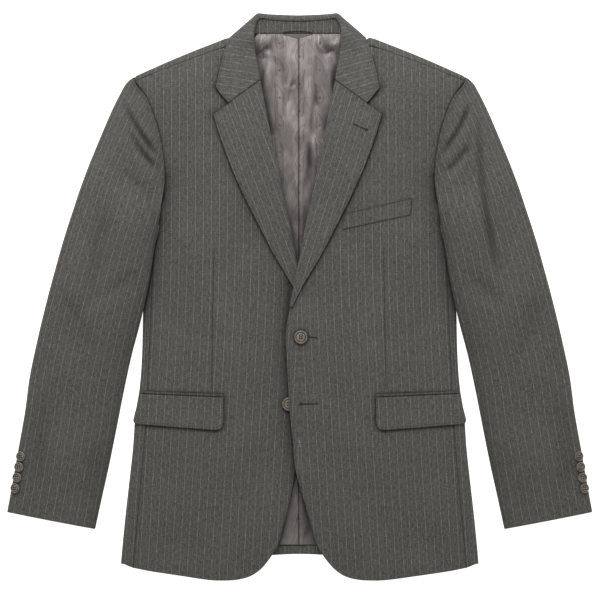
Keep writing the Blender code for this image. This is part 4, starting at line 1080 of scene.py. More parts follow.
def lines_above(side):
    """Edges that lie on a front, as lines in plan with the strength and reach of their shade."""
    lapel = [(side * row.edge_out + CENTRE, row.edge_y) for row in LAPEL[LAPEL_PEAK_ROW:]]
    collar = [(side * row.leaf_out + CENTRE, row.leaf_y) for row in COLLAR_FRONT[COLLAR_POINT_ROW:]]
    tip = [(side * row.leaf_out + CENTRE, row.leaf_y) for row in COLLAR_FRONT[: COLLAR_POINT_ROW + 1]]
    peak = [(side * row.edge_out + CENTRE, row.edge_y) for row in LAPEL[:2]]
    flap_x = POCKET["inner_x"]
    low = POCKET["mouth_y"] - POCKET["mouth_slope"] - POCKET["jet_width"] - POCKET["flap_inner"]
    flap = np.array([(flap_x, low + 46), (flap_x, low + 9), (flap_x + 9, low), (232, low + 9)])
    mouth = [(flap_x, POCKET["mouth_y"] - POCKET["mouth_slope"]), (POCKET["outer_x"], POCKET["mouth_y"])]
    armhole = armhole_points(ARMHOLE_ROWS) * [side, 1]
    button = FRONT_BUTTONS[side]
    angles = np.linspace(0, 2 * np.pi, 17)
    ring = np.stack([np.cos(angles), np.sin(angles)], axis=1) * button.diameter / 2 + [button.x, button.y]
    # Each line paints shadow on the front beside an edge that lies on it, and in a ring round the button.
    lines = [(lapel, 0.4, 1.4), (lapel, 0.45, 5.0), (collar, 0.7, 1.3), (collar, 0.35, 4.5)]
    lines += [(tip, 0.75, 4.0), (peak, 0.5, 4.0), (ring, 0.85, 1.4)]
    lines += [(flap * [side, 1], 0.75, 1.1), (flap * [side, 1], 0.35, 4.5)]
    lines += [(np.array(mouth) * [side, 1], 0.85, 1.4), (armhole, 0.55, 1.5), (armhole, 0.25, 5.0)]
    # near-black painted shadow on the cloth under the button's holes, and painted shadow beside the sleeve's
    # edge
    under = [(button.x - 2, button.y), (button.x + 2, button.y)]
    lines += [(sleeve_edge(side), 0.85, 2.8), (sleeve_edge(side), 0.58, 10.0), (under, 0.95, 5.0)]
    if side == UNDER:
        # painted shadow of the over front's edge on the under front
        edge = [(row.over + CENTRE, row.y) for row in FRONT_EDGE[3:]] + [(-14.0, 20.0)]
        lines.append((edge, 0.8, 8.0))
    return lines


def sleeve_edge(side):
    """Where a sleeve's inner edge crosses the body, in plan."""
    edge = ARMHOLE[3:0:-1] + [(row.inner_x, row.inner_y) for row in SLEEVE[:5]]
    return np.array(edge) * [side, 1]


def side_ring(front, fold, back):
    """One section of a side body, from the front's seam over the folded side to the back's seam."""
    radius = float(column(BODY, "y", "edge", fold)) / 2
    turn_x = float(column(BODY, "y", "half_width", fold)) - radius
    places = []
    for t in np.linspace(0, 1, 7)[:-1]:
        x, y = front[0] + (turn_x - front[0]) * t, front[1] + (fold - front[1]) * t
        places.append((x, y, float(laid_height(x, y)), 0.0, 1.0))
    for turn in np.radians(np.linspace(90, -90, 13)):
        out, up = np.cos(turn), np.sin(turn)
        places.append((turn_x + radius * out, fold, radius + radius * up, out, up))
    for t in np.linspace(0, 1, 12)[1:]:
        places.append((turn_x + (back[0] - turn_x) * t, fold + (back[1] - fold) * t, 0.0, 0.0, -1.0))
    outer = [(x, y, z) for x, y, z, _, _ in places]
    inner = [(x - SIDE_WALL * out, y, z - SIDE_WALL * up) for x, y, z, out, up in places]
    return outer, inner


def side_shell(side):
    front, back = seam_points(FRONT_SIDE_SEAM, HALF_SEAM), seam_points(BACK_SIDE_SEAM, HALF_SEAM)
    folds = HEM[-1].y + (UNDERARM - HEM[-1].y) * np.linspace(0, 1, SEAM_ROWS)
    rings = [side_ring(*places) for places in zip(front, folds, back)]
    outer = np.array([ring[0] for ring in rings]) * [side, 1, 1]
    inner = np.array([ring[1] for ring in rings]) * [side, 1, 1]
    outer, inner = refined(outer, inner, EDGES_ALONE, (True, False), (True, True))
    up = smooth(outer[..., 2:] / 9.0) * folds_at(outer[..., 0], outer[..., 1], BODY_FOLDS)[..., None]
    outer, inner = outer + up * [0, 0, 1], inner + up * [0, 0, 1]
    wall = press_edges(outer, inner, seams="se", finished="f")
    # painted shadow beside the sleeve's edge where it lies over the side
    return shaded(wall, (sleeve_edge(side), 0.8, 3.0), (sleeve_edge(side), 0.55, 9.0))


def back_top_edge(out):
    """Y where a back panel turns up: the neck seam in the middle, the shoulder's edge past it."""
    into = smooth((out - 58) / 22)
    return NECK_SEAM * (1 - into) + shoulder_line(out) * into


def back_shell(side, cols=34):
    """A back panel: flat below, and turned up over the shoulder's edge as far as its seam."""
    arm = [(row.under_x - 2 * SEAM, row.under_y) for row in SLEEVE_CAP[-2::-1]]
    seam = seam_points(BACK_SIDE_SEAM, -HALF_SEAM)[::3]
    left = np.vstack([seam, BACK_UNDERARM, arm])
    outs = HALF_SEAM + (left[-1, 0] - HALF_SEAM) * np.linspace(1, 0, cols)
    turned = smooth((outs - 80) / 22)
    shoulder = shoulder_line(outs)
    radius = (column(BODY, "y", "edge", shoulder) - floor_height(side * outs, shoulder)) / 2
    top = np.stack([outs, back_top_edge(outs) - radius * turned], axis=1)
    left[-1] = top[0]
    centre_y = BACK_HEM_CENTRE + (top[-1, 1] - BACK_HEM_CENTRE) * shares(left)
    right = np.stack([np.full(len(left), HALF_SEAM), centre_y], axis=1)
    part = np.linspace(0, 1, cols)
    hem_x = left[0, 0] + (HALF_SEAM - left[0, 0]) * part
    hem_y = left[0, 1] + (BACK_HEM_CENTRE - left[0, 1]) * smooth(part)
    plan = patch(np.stack([hem_x, hem_y], axis=1), top, left, right)
    z = floor_height(side * plan[..., 0], plan[..., 1])
    outer = np.concatenate([plan, z[..., None]], axis=2)
    inner = outer + [0, 0, BACK_WALL]
    turned_outer, turned_inner = shoulder_turn(top, z[-1], radius, turned)
    outer = np.concatenate([outer, turned_outer]) * [side, 1, 1]
    inner = np.concatenate([inner, turned_inner]) * [side, 1, 1]
    outer, inner = refined(outer, inner, PLAIN, (True, True), (True, True))
    inner[:, 0, 0] += side * ARMHOLE_TURN * smooth((outer[:, 0, 2] - 8) / 2)
    return press_edges(outer, inner, seams="sle", finished="f")


def shoulder_turn(top, floor, radius, share):
    """Rows that carry a back panel up round the shoulder's edge and forward to its seam."""
    outer, inner = [], []
    drop = np.interp(top[:, 0], [NECK_POINT, SHOULDER_TIP], [SEAM_AT_NECK, SEAM_AT_TIP]) - HALF_SEAM
    for k, turn in enumerate(np.radians([36, 72, 108, 144, 180])):
        y = top[:, 1] + radius * share * np.sin(turn)
        z = floor + radius * share * (1 - np.cos(turn))
        ahead = (1 - share) * 0.5 * (k + 1)
        outer.append(np.stack([top[:, 0], y + ahead, z], axis=1))
        away_y, away_z = np.sin(turn) * share, -np.cos(turn) * share - (1 - share)
        inner.append(outer[-1] - BACK_WALL * np.stack([0 * y, away_y, away_z], axis=1))
    last = outer[-1].copy()
    flat = np.maximum(0.6, drop - radius) * share
    last[:, 1] -= flat
    last[:, 1] += (1 - share) * 0.5
    meet = laid_height(last[:, 0], last[:, 1])
    last[:, 2] += (meet - last[:, 2]) * share
    outer.append(last)
    inner.append(last - BACK_WALL * np.stack([0 * share, 0 * share, 2 * share - 1], axis=1))
    return np.array(outer), np.array(inner)


# ---------------------------------------------------------------- lapels and collar


def turned_section(start, leaf, normal, radius, tuck, thickness, bends=9):
    """Outer and inner points of cloth that comes out of a tuck, rolls over and runs on as a leaf."""
    forward = leaf[-1] - start
    forward = forward / np.linalg.norm(forward)
    normal = normal - forward * (normal @ forward)
    normal = normal / np.linalg.norm(normal)
    outer = [start + forward * tuck - normal * 2 * radius]
    inner = [start + forward * tuck - normal * (2 * radius - thickness)]
    axis = start - normal * radius
    for turn in np.linspace(0, np.pi, bends):
        out = -forward * np.sin(turn) - normal * np.cos(turn)
        outer.append(axis + out * radius)
        inner.append(axis + out * (radius - thickness))
    for place in leaf[1:]:
        outer.append(place)
        inner.append(place - normal * thickness)
    return outer, inner


def lapel_shell(side, spans=14):
    outer, inner = [], []
    for row in LAPEL:
        rise = row.roll_radius - FRONT_WALL / 2
        fold = np.array([side * row.roll_out + CENTRE, row.roll_y])
        edge = np.array([side * row.edge_out + CENTRE, row.edge_y])
        way = (edge - fold) / np.linalg.norm(edge - fold)
        start = fold + way * row.roll_radius
        width = max(np.linalg.norm(edge - start), 2.5)
        leaf = []
        for t in np.linspace(0, 1, spans):
            place = start + way * width * t
            lift = row.edge_lift * np.sin(np.pi * t * 0.75) + LAPEL_LIFT * t**3
            leaf.append([*place, front_height(*place, side) + rise + lift])
        leaf = np.array(leaf)
        tuck = min(LAPEL_TUCK, width)
        pair = turned_section(leaf[0], leaf, np.array([0, 0, 1.0]), row.roll_radius, tuck, LAPEL_WALL)
        outer.append(pair[0])
        inner.append(pair[1])
    ends = (True, False)
    outer, inner = refined(np.array(outer), np.array(inner), FINER, ends, (False, True), [LAPEL_PEAK_ROW])
    up = folds_at(outer[..., 0], outer[..., 1], BODY_FOLDS)[..., None] * [0, 0, 1]
    wall = press_edges(outer + up, inner + up, seams="f", finished="e", stitched="e")
    # painted shadow under the collar's tip
    tip = [(side * row.leaf_out + CENTRE, row.leaf_y) for row in COLLAR_FRONT[:2]]
    return shaded(wall, (tip, 0.35, 2.5))


def collar_half(side):
    """Sections of the fall from a gorge seam to the middle of the back, as outer and inner points."""
    pairs = []
    radius = LAPEL[0].roll_radius
    rise = radius - FRONT_WALL / 2
    up = np.array([0, 0, 1.0])
    for row in COLLAR_FRONT:
        fold = np.array([side * row.fold_out + CENTRE, row.fold_y])
        edge = np.array([side * row.leaf_out + CENTRE, row.leaf_y])
        way = (edge - fold) / np.linalg.norm(edge - fold)
        start = fold + way * radius
        leaf = []
        for t in np.linspace(0, 1, 9):
            place = start + (edge - start) * t
            lift = row.lift * np.sin(np.pi * t * 0.75) + LAPEL_LIFT * t**3
            leaf.append([*place, float(front_height(*place, side)) + rise + lift])
        leaf = np.array(leaf)
        pairs.append(turned_section(leaf[0], leaf, up, radius, COLLAR_TUCK, COLLAR_WALL))
    for row in COLLAR_BACK:
        start = np.array([side * row.fold_out + CENTRE, row.fold_y, row.fold_z])
        edge = np.array([side * row.leaf_out + CENTRE, row.leaf_y, row.leaf_z])
        leaf = start + (edge - start) * np.linspace(0, 1, 9)[:, None]
        turn = np.radians(row.turn)
        outward = np.array([side * NECK_CORNER_X, NECK_CORNER_Y, 0.0])
        normal = up * np.cos(turn) + outward * np.sin(turn)
        pairs.append(turned_section(start, leaf, normal, COLLAR_RADIUS, COLLAR_TUCK, COLLAR_WALL))
    return pairs


def collar_shell():
    near, far = collar_half(UNDER), collar_half(OVER)
    pairs = near + far[-2::-1]
    outer = np.array([pair[0] for pair in pairs])
    inner = np.array([pair[1] for pair in pairs])
    points = [COLLAR_POINT_ROW, len(pairs) - 1 - COLLAR_POINT_ROW]
    outer, inner = refined(outer, inner, FINER, (True, True), (True, True), points)
    return press_edges(outer, inner, seams="fls", finished="e", stitched="e")


def collar_cut(outer):
    """Stripes run from the roll to the edge of the fall, all the way round the neck."""
    x, y = outer[..., 0], outer[..., 1]
    side = np.where(x > CENTRE, OVER, UNDER)
    lean = np.where(side == OVER, COLLAR_LEAN[OVER], COLLAR_LEAN[UNDER])
    roll = outer[:, 8]
    length = run_down(outer)[:, 8:9]
    length = np.abs(length - length[np.argmin(np.abs(roll[:, 0] - CENTRE))])
    top = smooth((roll[:, 1:2] - 384.0) / 16.0)
    sideways = y - lean * np.abs(x - CENTRE)
    start = length[np.argmin(np.abs(roll[:, 1] - 384.0)), 0]
    u = (1 - top) * sideways + top * (384.0 + start - length - 12.0)
    return np.stack([u, run_across(outer)], axis=-1)


def stand_shell(cols=60):
    """The band inside the neck, from the seam below the collar's roll down to the neck seam."""
    half = [(row.out, row.y, row.z) for row in STAND_EDGE]
    edge = np.array([(-out, y, z) for out, y, z in half[:0:-1]] + half) + [CENTRE, 0, 0]
    top = along(edge, np.linspace(0, 1, cols))
    low = np.zeros_like(top)
    low[:, 0] = CENTRE + STAND_HALF_LOW * (2 * shares(top) - 1)
    low[:, 1:] = NECK_SEAM + HALF_SEAM, STAND_LOW_Z
    down = np.linspace(0, 1, 9)[:, None, None]
    outer = top * (1 - down) + low * down
    outer, inner = refined(outer, outer - [0, 0, COLLAR_WALL], EDGES_ALONE, (True, True), (True, True))
    wall = press_edges(outer, inner, seams="l")
    # painted shade along the stand's top edge, under the collar's roll, and wider at its corners
    edge = edge[:, :2]
    return shaded(wall, (edge, 0.55, 2.0), (edge[:5], 0.5, 7.0), (edge[-5:], 0.5, 7.0))


# ---------------------------------------------------------------- sleeves


def sleeve_base(x, y):
    """Z of a sleeve's lower face: on the surface, and up over the body's side where it crosses it."""
    width, edge = column(BODY, "y", "half_width", y), column(BODY, "y", "edge", y)
    inside = width + 2.0 - np.abs(x)
    over = laid_height(np.minimum(np.abs(x), width - edge / 2), y) + SLEEVE_CLEAR
    ramp = (edge + SLEEVE_CLEAR) * smooth(1 + inside / SLEEVE_RAMP)
    height = np.where(inside > 0, np.maximum(over, ramp), ramp)
    return height * smooth((172 - y) / 34)


def fold_places(width, edge, fold_z, up):
    """The rounded inner fold of a sleeve's upper (up is 1) or lower (-1) cloth."""
    radius = edge / 2
    places = []
    for turn in np.linspace(np.pi / 2, HALF_SEAM / radius, 7):
        run = width - radius * (1 - np.cos(turn))
        rise = up * np.sin(turn)
        places.append((run, fold_z + radius * (1 + rise), np.cos(turn), rise))
    return places


def outer_places(radius, edge, up):
    """The rounded outer fold, the same way."""
    places = []
    for turn in np.linspace(HALF_SEAM / radius, np.pi / 2, 7):
        run = radius * (1 - np.cos(turn))
        rise = up * np.sin(turn)
        places.append((run, edge / 2 * (1 + rise), -np.cos(turn), rise))
    return places


def sleeve_section(start, end, places):
    """Outer and inner points from places, each with its run from start, its Z and its normal."""
    into = (end - start) / np.linalg.norm(end - start)
    outer = [(*(start + into * run), z) for run, z, _, _ in places]
    inner = [(*(start + into * (run - SLEEVE_WALL * a)), z - SLEEVE_WALL * b) for run, z, a, b in places]
    return outer, inner


def sleeve_top_section(row, end, free, spans=22):
    """From the outer fold over the top to the inner fold, or to the armhole where none is free."""
    start, end = np.array([row.outer_x, row.outer_y]), np.array(end)
    width = np.linalg.norm(end - start)
    into = (end - start) / width
    radius = min(row.edge / 2, width * 0.45)
    fold_z = float(sleeve_base(*(end - into * row.edge / 2)))
    inner_top = fold_z + row.edge if free else float(shoulder_top(*end)) + SLEEVE_HEAD
    places = outer_places(radius, row.edge, 1)
    for t in np.linspace(0, 1, spans)[1:-1]:
        dome = row.crown * (1 - abs(2 * t - 1) ** 2.2)
        rise = (inner_top - row.edge) * t**1.4
        places.append((radius + (width - 2 * radius) * t, row.edge + rise + dome, 0.0, 1.0))
    if free:
        places += fold_places(width, row.edge, fold_z, 1)
    else:
        for t in np.linspace(1, 0, 7):
            places.append((width - radius * t, inner_top + 0.6 * np.sin(np.pi * t), 0.0, 1.0))
    return sleeve_section(start, end, places)


def sleeve_under_section(row, end, free, spans=16):
    """The same along the underside."""
    start, end = np.array([row.outer_x, row.outer_y]), np.array(end)
    width = np.linalg.norm(end - start)
    into = (end - start) / width
    radius = min(row.edge / 2, width * 0.45)
    places = outer_places(radius, row.edge, -1)
    runs = list(radius + (width - 2 * radius) * np.linspace(0, 1, spans)[1:-1])
    if not free:
        runs += [width - radius * t for t in np.linspace(1, 0, 7)]
    places += [(run, float(sleeve_base(*(start + into * run))), 0.0, -1.0) for run in runs]
    if free:
        fold_z = float(sleeve_base(*(end - into * row.edge / 2)))
        places += fold_places(width, row.edge, fold_z, -1)
    return sleeve_section(start, end, places)


def sleeve_shells(side):
    """The upper and the under cloth of a sleeve, each as outer and inner points."""
    armhole = armhole_points(ARMHOLE_ROWS, HALF_SEAM)[::-1]
    ends = [(armhole[0, 0], SLEEVE_CAP[0].outer_y), *armhole]
    tops = [sleeve_top_section(row, seam, False) for row, seam in zip(SLEEVE_CAP, ends)]
    tops += [sleeve_top_section(row, (row.inner_x, row.inner_y), True) for row in SLEEVE]
    unders = [sleeve_under_section(row, (row.under_x, row.under_y), False) for row in SLEEVE_CAP]
    unders += [sleeve_under_section(row, (row.inner_x, row.inner_y), True) for row in SLEEVE]
    shells = []
    for sections, spacing in ((tops, FINE), (unders, PLAIN)):
        outer = np.array([section[0] for section in sections]) * [side, 1, 1]
        inner = np.array([section[1] for section in sections]) * [side, 1, 1]
        shells.append(refined(outer, inner, spacing, (True, True), (False, True)))
    outer, inner = shells[0]
    across = run_across(outer)
    x, y = outer[..., 0], outer[..., 1]
    up = folds_at(x, y, SLEEVE_FOLDS) * smooth((across - 3) / 14)
    armhole_side = smooth((y - 122) / 12)
    to_fold = across[:, -1:] - across
    up = up * np.maximum(armhole_side, smooth((to_fold - 3) / 16))
    up = up * (1 - 0.6 * np.exp(-((to_fold / 5) ** 2)))
    # painted shade in the hollows of the sleeve's folds
    painted_hollow_shade = 0.12 * np.clip(-up, 0, 5)
    up = up[..., None] * [0, 0, 1]
    free = press_edges(outer + up, inner + up, seams="f", finished="l")
    sewn = press_edges(outer + up, inner + up, seams="fe", finished="l")
    at = armhole_side[..., None]
    shade = free.shade * (1 - armhole_side) + sewn.shade * armhole_side
    # painted shade along the inner fold, weaker towards the armhole
    painted_fold_shade = 0.5 * np.exp(-to_fold / 12) * (1 - 0.6 * armhole_side)
    shade = 1 - (1 - shade) * (1 - painted_fold_shade) * (1 - painted_hollow_shade)
    outer, inner = [a * (1 - at) + b * at for a, b in zip(free[:2], sewn[:2])]
    return Wall(outer, inner, shade), press_edges(*shells[1], finished="l")


def sleeve_cut(outer):
    """Stripes run down the sleeve, side by side from its outer fold."""
    down = run_down(outer)[:, :1] + 0 * outer[..., 0]
    return np.stack([run_across(outer), -down], axis=-1)


# ---------------------------------------------------------------- lining, pockets and trim


def lining_shell(side, spacing=FINE):
    rows = int((NECK_SEAM - LINING_HEM) / spacing)
    cols = int(LINING_REACH[0] / spacing)
    y = (NECK_SEAM - HALF_SEAM + (LINING_HEM - NECK_SEAM) * np.linspace(0, 1, rows))[:, None]
    reach = np.interp(y, LINING_REACH_Y, LINING_REACH)
    x = side * (HALF_SEAM + (reach - HALF_SEAM) * np.linspace(0, 1, cols) ** 1.3)
    x = x - LINING_SEAM_OUT * smooth(1 - np.abs(x) / 40)
    y = y + 0 * x
    fade = smooth((NECK_SEAM - y) / 8)
    folds = folds_at(x, y, LINING_FOLDS) * fade
    z = lining_height(x, y) + 0.7 * fade + np.maximum(folds, -1.9 * fade)
    outer, inner = flat_wall(np.stack([x, y], axis=2), z, LINING_WALL)
    outer, inner = refined(outer, inner, EDGES_ALONE, (True, True), (True, False))
    wall = press_edges(outer, inner, seams="fs", finished="l")
    # painted shade in the hollows of the lining's folds
    painted_hollow_shade = 0.28 * np.clip(-folds_at(outer[..., 0], outer[..., 1], LINING_FOLDS), 0, 3)
    wall = wall._replace(shade=1 - (1 - wall.shade) * (1 - painted_hollow_shade))
    # painted shadows along the rolls of the collar and lapels, beside the fronts' edges, in the neck's
    # corners and along the middle seam
    roll = [(side * 66 + CENTRE, 379)]
    roll += [(side * row.fold_out + CENTRE, row.fold_y) for row in COLLAR_FRONT[::-1]]
    roll += [(side * row.roll_out + CENTRE, row.roll_y) for row in LAPEL]
    edge = [((row.over if side == OVER else row.under) * side + CENTRE, row.y) for row in FRONT_EDGE[1:6]]
    corner = [(side * 58 + CENTRE, 350), (side * 44 + CENTRE, 362)]
    lines = [(roll, 0.75, 9.0), (edge, 0.7, 7.0), (corner, 0.75, 5.0), (outer[:, 0, :2], 0.6, 0.9)]
    return shaded(wall, *lines)


def hem_facing_shell(cols=40):
    outs = np.linspace(-HEM_FACING_HALF, HEM_FACING_HALF, cols)
    drop = (BACK_HEM_SIDE - BACK_HEM_CENTRE) * smooth(np.abs(outs) / BACK_SIDE_SEAM[0].x)
    hem = BACK_HEM_CENTRE + drop + 2 * SEAM
    top = np.full(cols, LINING_HEM - SEAM)
    plan = np.stack([np.stack([outs, hem], axis=1), np.stack([outs, top], axis=1)])
    z = np.full(plan.shape[:2], BACK_WALL + SEAM + HEM_FACING_WALL)
    outer, inner = flat_wall(plan, z, HEM_FACING_WALL)
    outer, inner = refined(outer, inner, FINE, (True, True), (False, False))
    return press_edges(outer, inner, seams="l", finished="f")


def pocket_plan(side, drop_inner, drop_outer, below, corner, proud, cols, rows):
    """A strip across the pocket, from "below" under its mouth; its lower corners are rounded."""
    share = np.linspace(0, 1, cols)
    inner_x = POCKET["inner_x"]
    top = POCKET["mouth_y"] - POCKET["mouth_slope"] * (1 - share) - below
    drop = drop_inner + (drop_outer - drop_inner) * share
    x = inner_x + (POCKET["outer_x"] - inner_x) * share
    for size, from_end in ((corner, x - inner_x), (corner / 2.5, POCKET["outer_x"] - x)):
        cut = np.maximum(0, size - from_end)
        drop = drop - (size - np.sqrt(np.maximum(0, size**2 - cut**2)))
    down = np.linspace(0, 1, rows)[:, None]
    y = top - drop * down
    end = column(BODY, "y", "half_width", y[:, -1:]) + POCKET["outer_in"] + proud * down
    x = inner_x + (end - inner_x) * share
    return np.stack([x * side, y], axis=2)


def pocket_shells(side):
    """The jet and the flap of a pocket, each as outer and inner points."""
    width = POCKET["jet_width"]
    shells = []
    drops = POCKET["flap_inner"], POCKET["flap_outer"]
    jet = pocket_plan(side, width, width, 0.0, 0.0, 0.0, 64, 4)
    flap = pocket_plan(side, *drops, width + SEAM, POCKET["flap_corner"], POCKET["flap_proud"], 64, 22)
    for plan, wider, wall in ((jet, JET_WIDER, JET_WALL), (flap, FLAP_WIDER, FLAP_WALL)):
        x, y = plan[..., 0], plan[..., 1]
        z = body_top(x, y, wider) + SEAM + wall + folds_at(x, y, BODY_FOLDS)
        if wall == FLAP_WALL:
            z = z + FLAP_LIFT * np.linspace(0, 1, len(plan))[:, None] ** 2
            z = z + 0.6 * FLAP_LIFT * np.exp(-(np.abs(x) - POCKET["inner_x"]) / 5)
        outer, inner = flat_wall(plan, z, wall)
        shells.append(refined(outer, inner, EDGES_ALONE, (True, True), (True, True)))
    outer, inner = shells[0]
    belly = 0.5 * np.sin(np.pi * run_down(outer) / run_down(outer)[-1:])[..., None] * [0, 0, 1]
    jet = press_edges(outer + belly, inner + 0.5 * belly, seams="fl")
    # painted shade along the jet's two long edges
    jet = shaded(jet, (outer[0, :, :2], 0.8, 1.1), (outer[-1, :, :2], 0.75, 0.9))
    return jet, press_edges(*shells[1], seams="f", finished="sl", stitched="sl")


def welt_shell():
    side = np.linspace(0, 1, 44)[None, :, None]
    up = np.linspace(0, 1, 12)[:, None, None]
    lower = np.array(WELT["lower"]) * (1 - side) + np.array(WELT["far_lower"]) * side
    upper = np.array(WELT["upper"]) * (1 - side) + np.array(WELT["far_upper"]) * side
    plan = lower * (1 - up) + upper * up
    x, y = plan[..., 0], plan[..., 1]
    z = front_height(x, y, OVER) + SEAM + WELT_WALL + folds_at(x, y, BODY_FOLDS)
    outer, inner = flat_wall(plan, z, WELT_WALL)
    outer, inner = refined(outer, inner, EDGES_ALONE, (True, True), (True, True))
    wall = press_edges(outer, inner, seams="fse", finished="l")
    # painted shade along the welt's top edge and its far end
    return shaded(wall, (outer[-1, :, :2], 0.7, 1.0), (outer[:, -1, :2], 0.65, 0.9))


def loop_shell(cols=36):
    t = np.linspace(-1, 1, cols)
    arch = 1 - t**2
    y = NECK_SEAM + 0.6 + LOOP_RISE * 0.6 * arch
    lower = np.stack([CENTRE + LOOP_HALF * t, y, LOOP_Z + 0.5 * arch], axis=1)
    rows = np.linspace(0, 1, 7)
    outer = np.array([lower + [0, LOOP_WIDTH * k, 0.2 * k + 0.25 * np.sin(np.pi * k)] for k in rows])
    return press_edges(outer, outer - [0, 0, LOOP_WALL], finished="fl")


def loop_patch_shell(cols=30):
    """The small pointed patch on the lining, below the loop."""
    points = np.array(LOOP_PATCH)
    x = np.linspace(points[0, 0], points[-1, 0], cols)
    reach = np.interp(x, points[:, 0], points[:, 1])
    down = np.linspace(0, 1, 8)[:, None]
    y = NECK_SEAM - 0.6 - reach * down
    x = CENTRE + x + 0 * y
    z = lining_height(x, y) + np.maximum(folds_at(x, y, LINING_FOLDS), 0) + 0.9
    return press_edges(*flat_wall(np.stack([x, y], axis=2), z, 0.5), finished="l")


# ---------------------------------------------------------------- buttons


def turned_button(name, radius, thickness, material, steps=48):
    """A button with a raised rim, a groove, a dished middle and four holes."""
    profile = [
        (0.0, 0.0),
        (0.80, 0.0),
        (0.93, 0.12),
        (1.0, 0.38),
        (0.995, 0.62),
        (0.955, 0.86),
        (0.88, 0.985),
        (0.80, 1.0),
        (0.75, 0.90),
        (0.72, 0.72),
        (0.68, 0.62),
        (0.64, 0.68),
        (0.60, 0.77),
        (0.52, 0.80),
        (0.36, 0.74),
        (0.18, 0.70),
        (0.0, 0.69),
    ]
    points, faces = [], []
    for k in range(steps):
        angle = 2 * np.pi * k / steps
        for out, up in profile[1:-1]:
            points.append((radius * out * np.cos(angle), radius * out * np.sin(angle), thickness * up))
    size = len(profile) - 2
    low, high = len(points), len(points) + 1
    points += [(0, 0, 0), (0, 0, thickness * profile[-1][1])]
    for k in range(steps):
        here, after = k * size, (k + 1) % steps * size
        faces += [(here + j, after + j, after + j + 1, here + j + 1) for j in range(size - 1)]
        faces.append((low, after, here))
        faces.append((high, here + size - 1, after + size - 1))
    made = new_object(name, points, faces, material)
    cutter = hole_cutter(radius, thickness)
    cut = made.modifiers.new("holes", "BOOLEAN")
    cut.operation = "DIFFERENCE"
    cut.object = cutter
    finished = applied(made)
    bpy.data.objects.remove(cutter, do_unlink=True)
    finished.shade_smooth()
    finished.set_sharp_from_angle(angle=np.radians(38))
    shade = finished.attributes.new("shade", "FLOAT", "POINT")
    shade.data.foreach_set("value", button_shade(finished, radius))
    made.data = finished
    return made


def button_shade(mesh, radius):
    """The painted shade of each point of a button: in its groove, inside its holes and below its rim."""
    points = np.zeros(len(mesh.vertices) * 3)
    mesh.vertices.foreach_get("co", points)
    points = points.reshape(-1, 3) / MM
    out = np.hypot(points[:, 0], points[:, 1])
    groove = 0.8 * np.exp(-(((out / radius - 0.68) / 0.05) ** 2)) * (points[:, 2] > 0.5)
    hole, apart = hole_size(radius)
    from_pin = np.hypot(np.abs(points[:, 0]) - apart, np.abs(points[:, 1]) - apart)
    drilled = 0.96 * (from_pin < hole + 0.05)
    edge = 0.8 * (out > 0.985 * radius)
    return np.maximum(np.maximum(groove, drilled), edge).astype(np.float32)


def hole_size(radius):
    """Radius of a button's holes, and how far each lies from the middle on both axes."""
    return max(0.1 * radius, 0.8), max(0.175 * radius, 1.55)


def hole_cutter(radius, thickness, steps=14):
    """Four round pins where a button is drilled."""
    hole, apart = hole_size(radius)
    points, faces = [], []
    for x, y in ((apart, apart), (-apart, apart), (-apart, -apart), (apart, -apart)):
        first = len(points)
        for z in (-1.0, thickness + 1.0):
            for k in range(steps):
                angle = 2 * np.pi * k / steps
                points.append((x + hole * np.cos(angle), y + hole * np.sin(angle), z))
        for k in range(steps):
            ahead = (k + 1) % steps
            faces.append((first + k, first + ahead, first + steps + ahead, first + steps + k))
        faces.append(tuple(first + k for k in range(steps))[::-1])
        faces.append(tuple(first + steps + k for k in range(steps)))
    return new_object("pins", points, faces)


def applied(obj):
    """The object's evaluated mesh, with its modifiers then removed."""
    graph = bpy.context.evaluated_depsgraph_get()
    mesh = bpy.data.meshes.new_from_object(obj.evaluated_get(graph))
    obj.modifiers.clear()
    return mesh


def placed(mesh_object, place, tilt=0.0):
    """Turns a mesh about Y by a tilt and moves it, in its own points."""
    mesh = mesh_object.data
    points = np.zeros(len(mesh.vertices) * 3)
    mesh.vertices.foreach_get("co", points)
    points = points.reshape(-1, 3)
    turn = np.array([[np.cos(tilt), 0, np.sin(tilt)], [0, 1, 0], [-np.sin(tilt), 0, np.cos(tilt)]])
    points = points @ turn.T + np.asarray(place) * MM
    mesh.vertices.foreach_set("co", points.ravel())
    mesh.update()


def button_threads(name, radius, thickness, material):
    """Four short bars of thread, two and two across the holes."""
    apart = hole_size(radius)[1]
    strand = 0.11
    points, faces = [], []
    z = thickness * 0.72
    for y in (-apart, apart):
        for shift in (-strand, strand):
            first = len(points)
            for x in np.linspace(-apart, apart, 7):
                lift = 0.30 * np.sqrt(max(0.0, 1 - (x / apart) ** 2)) - 0.26
                for k in range(6):
                    around, up = strand * np.cos(np.pi * k / 3), strand * np.sin(np.pi * k / 3)
                    points.append((x, y + shift + around, z + lift + up))
            for i in range(6):
                for k in range(6):
                    a, b = first + 6 * i + k, first + 6 * i + (k + 1) % 6
                    faces.append((a, b, b + 6, a + 6))
            faces.append(tuple(first + k for k in range(6))[::-1])
            faces.append(tuple(first + 36 + k for k in range(6)))
    made = new_object(name, points, faces, material)
    return made


def node_place(node, tilt):
    """Radius, thickness and the middle of the back of a CAD button, from its box and its tilt."""
    low, high = [np.array(corner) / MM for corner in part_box(node)]
    radius = (high[1] - low[1]) / 2
    rise, lean = np.cos(tilt), abs(np.sin(tilt))
    thickness = ((high[2] - low[2]) - 2 * radius * lean * 0.93) / rise
    middle = (low + high) / 2
    up = np.array([np.sin(tilt), 0, np.cos(tilt)])
    return radius, thickness, middle - up * thickness / 2


# ---------------------------------------------------------------- sewing


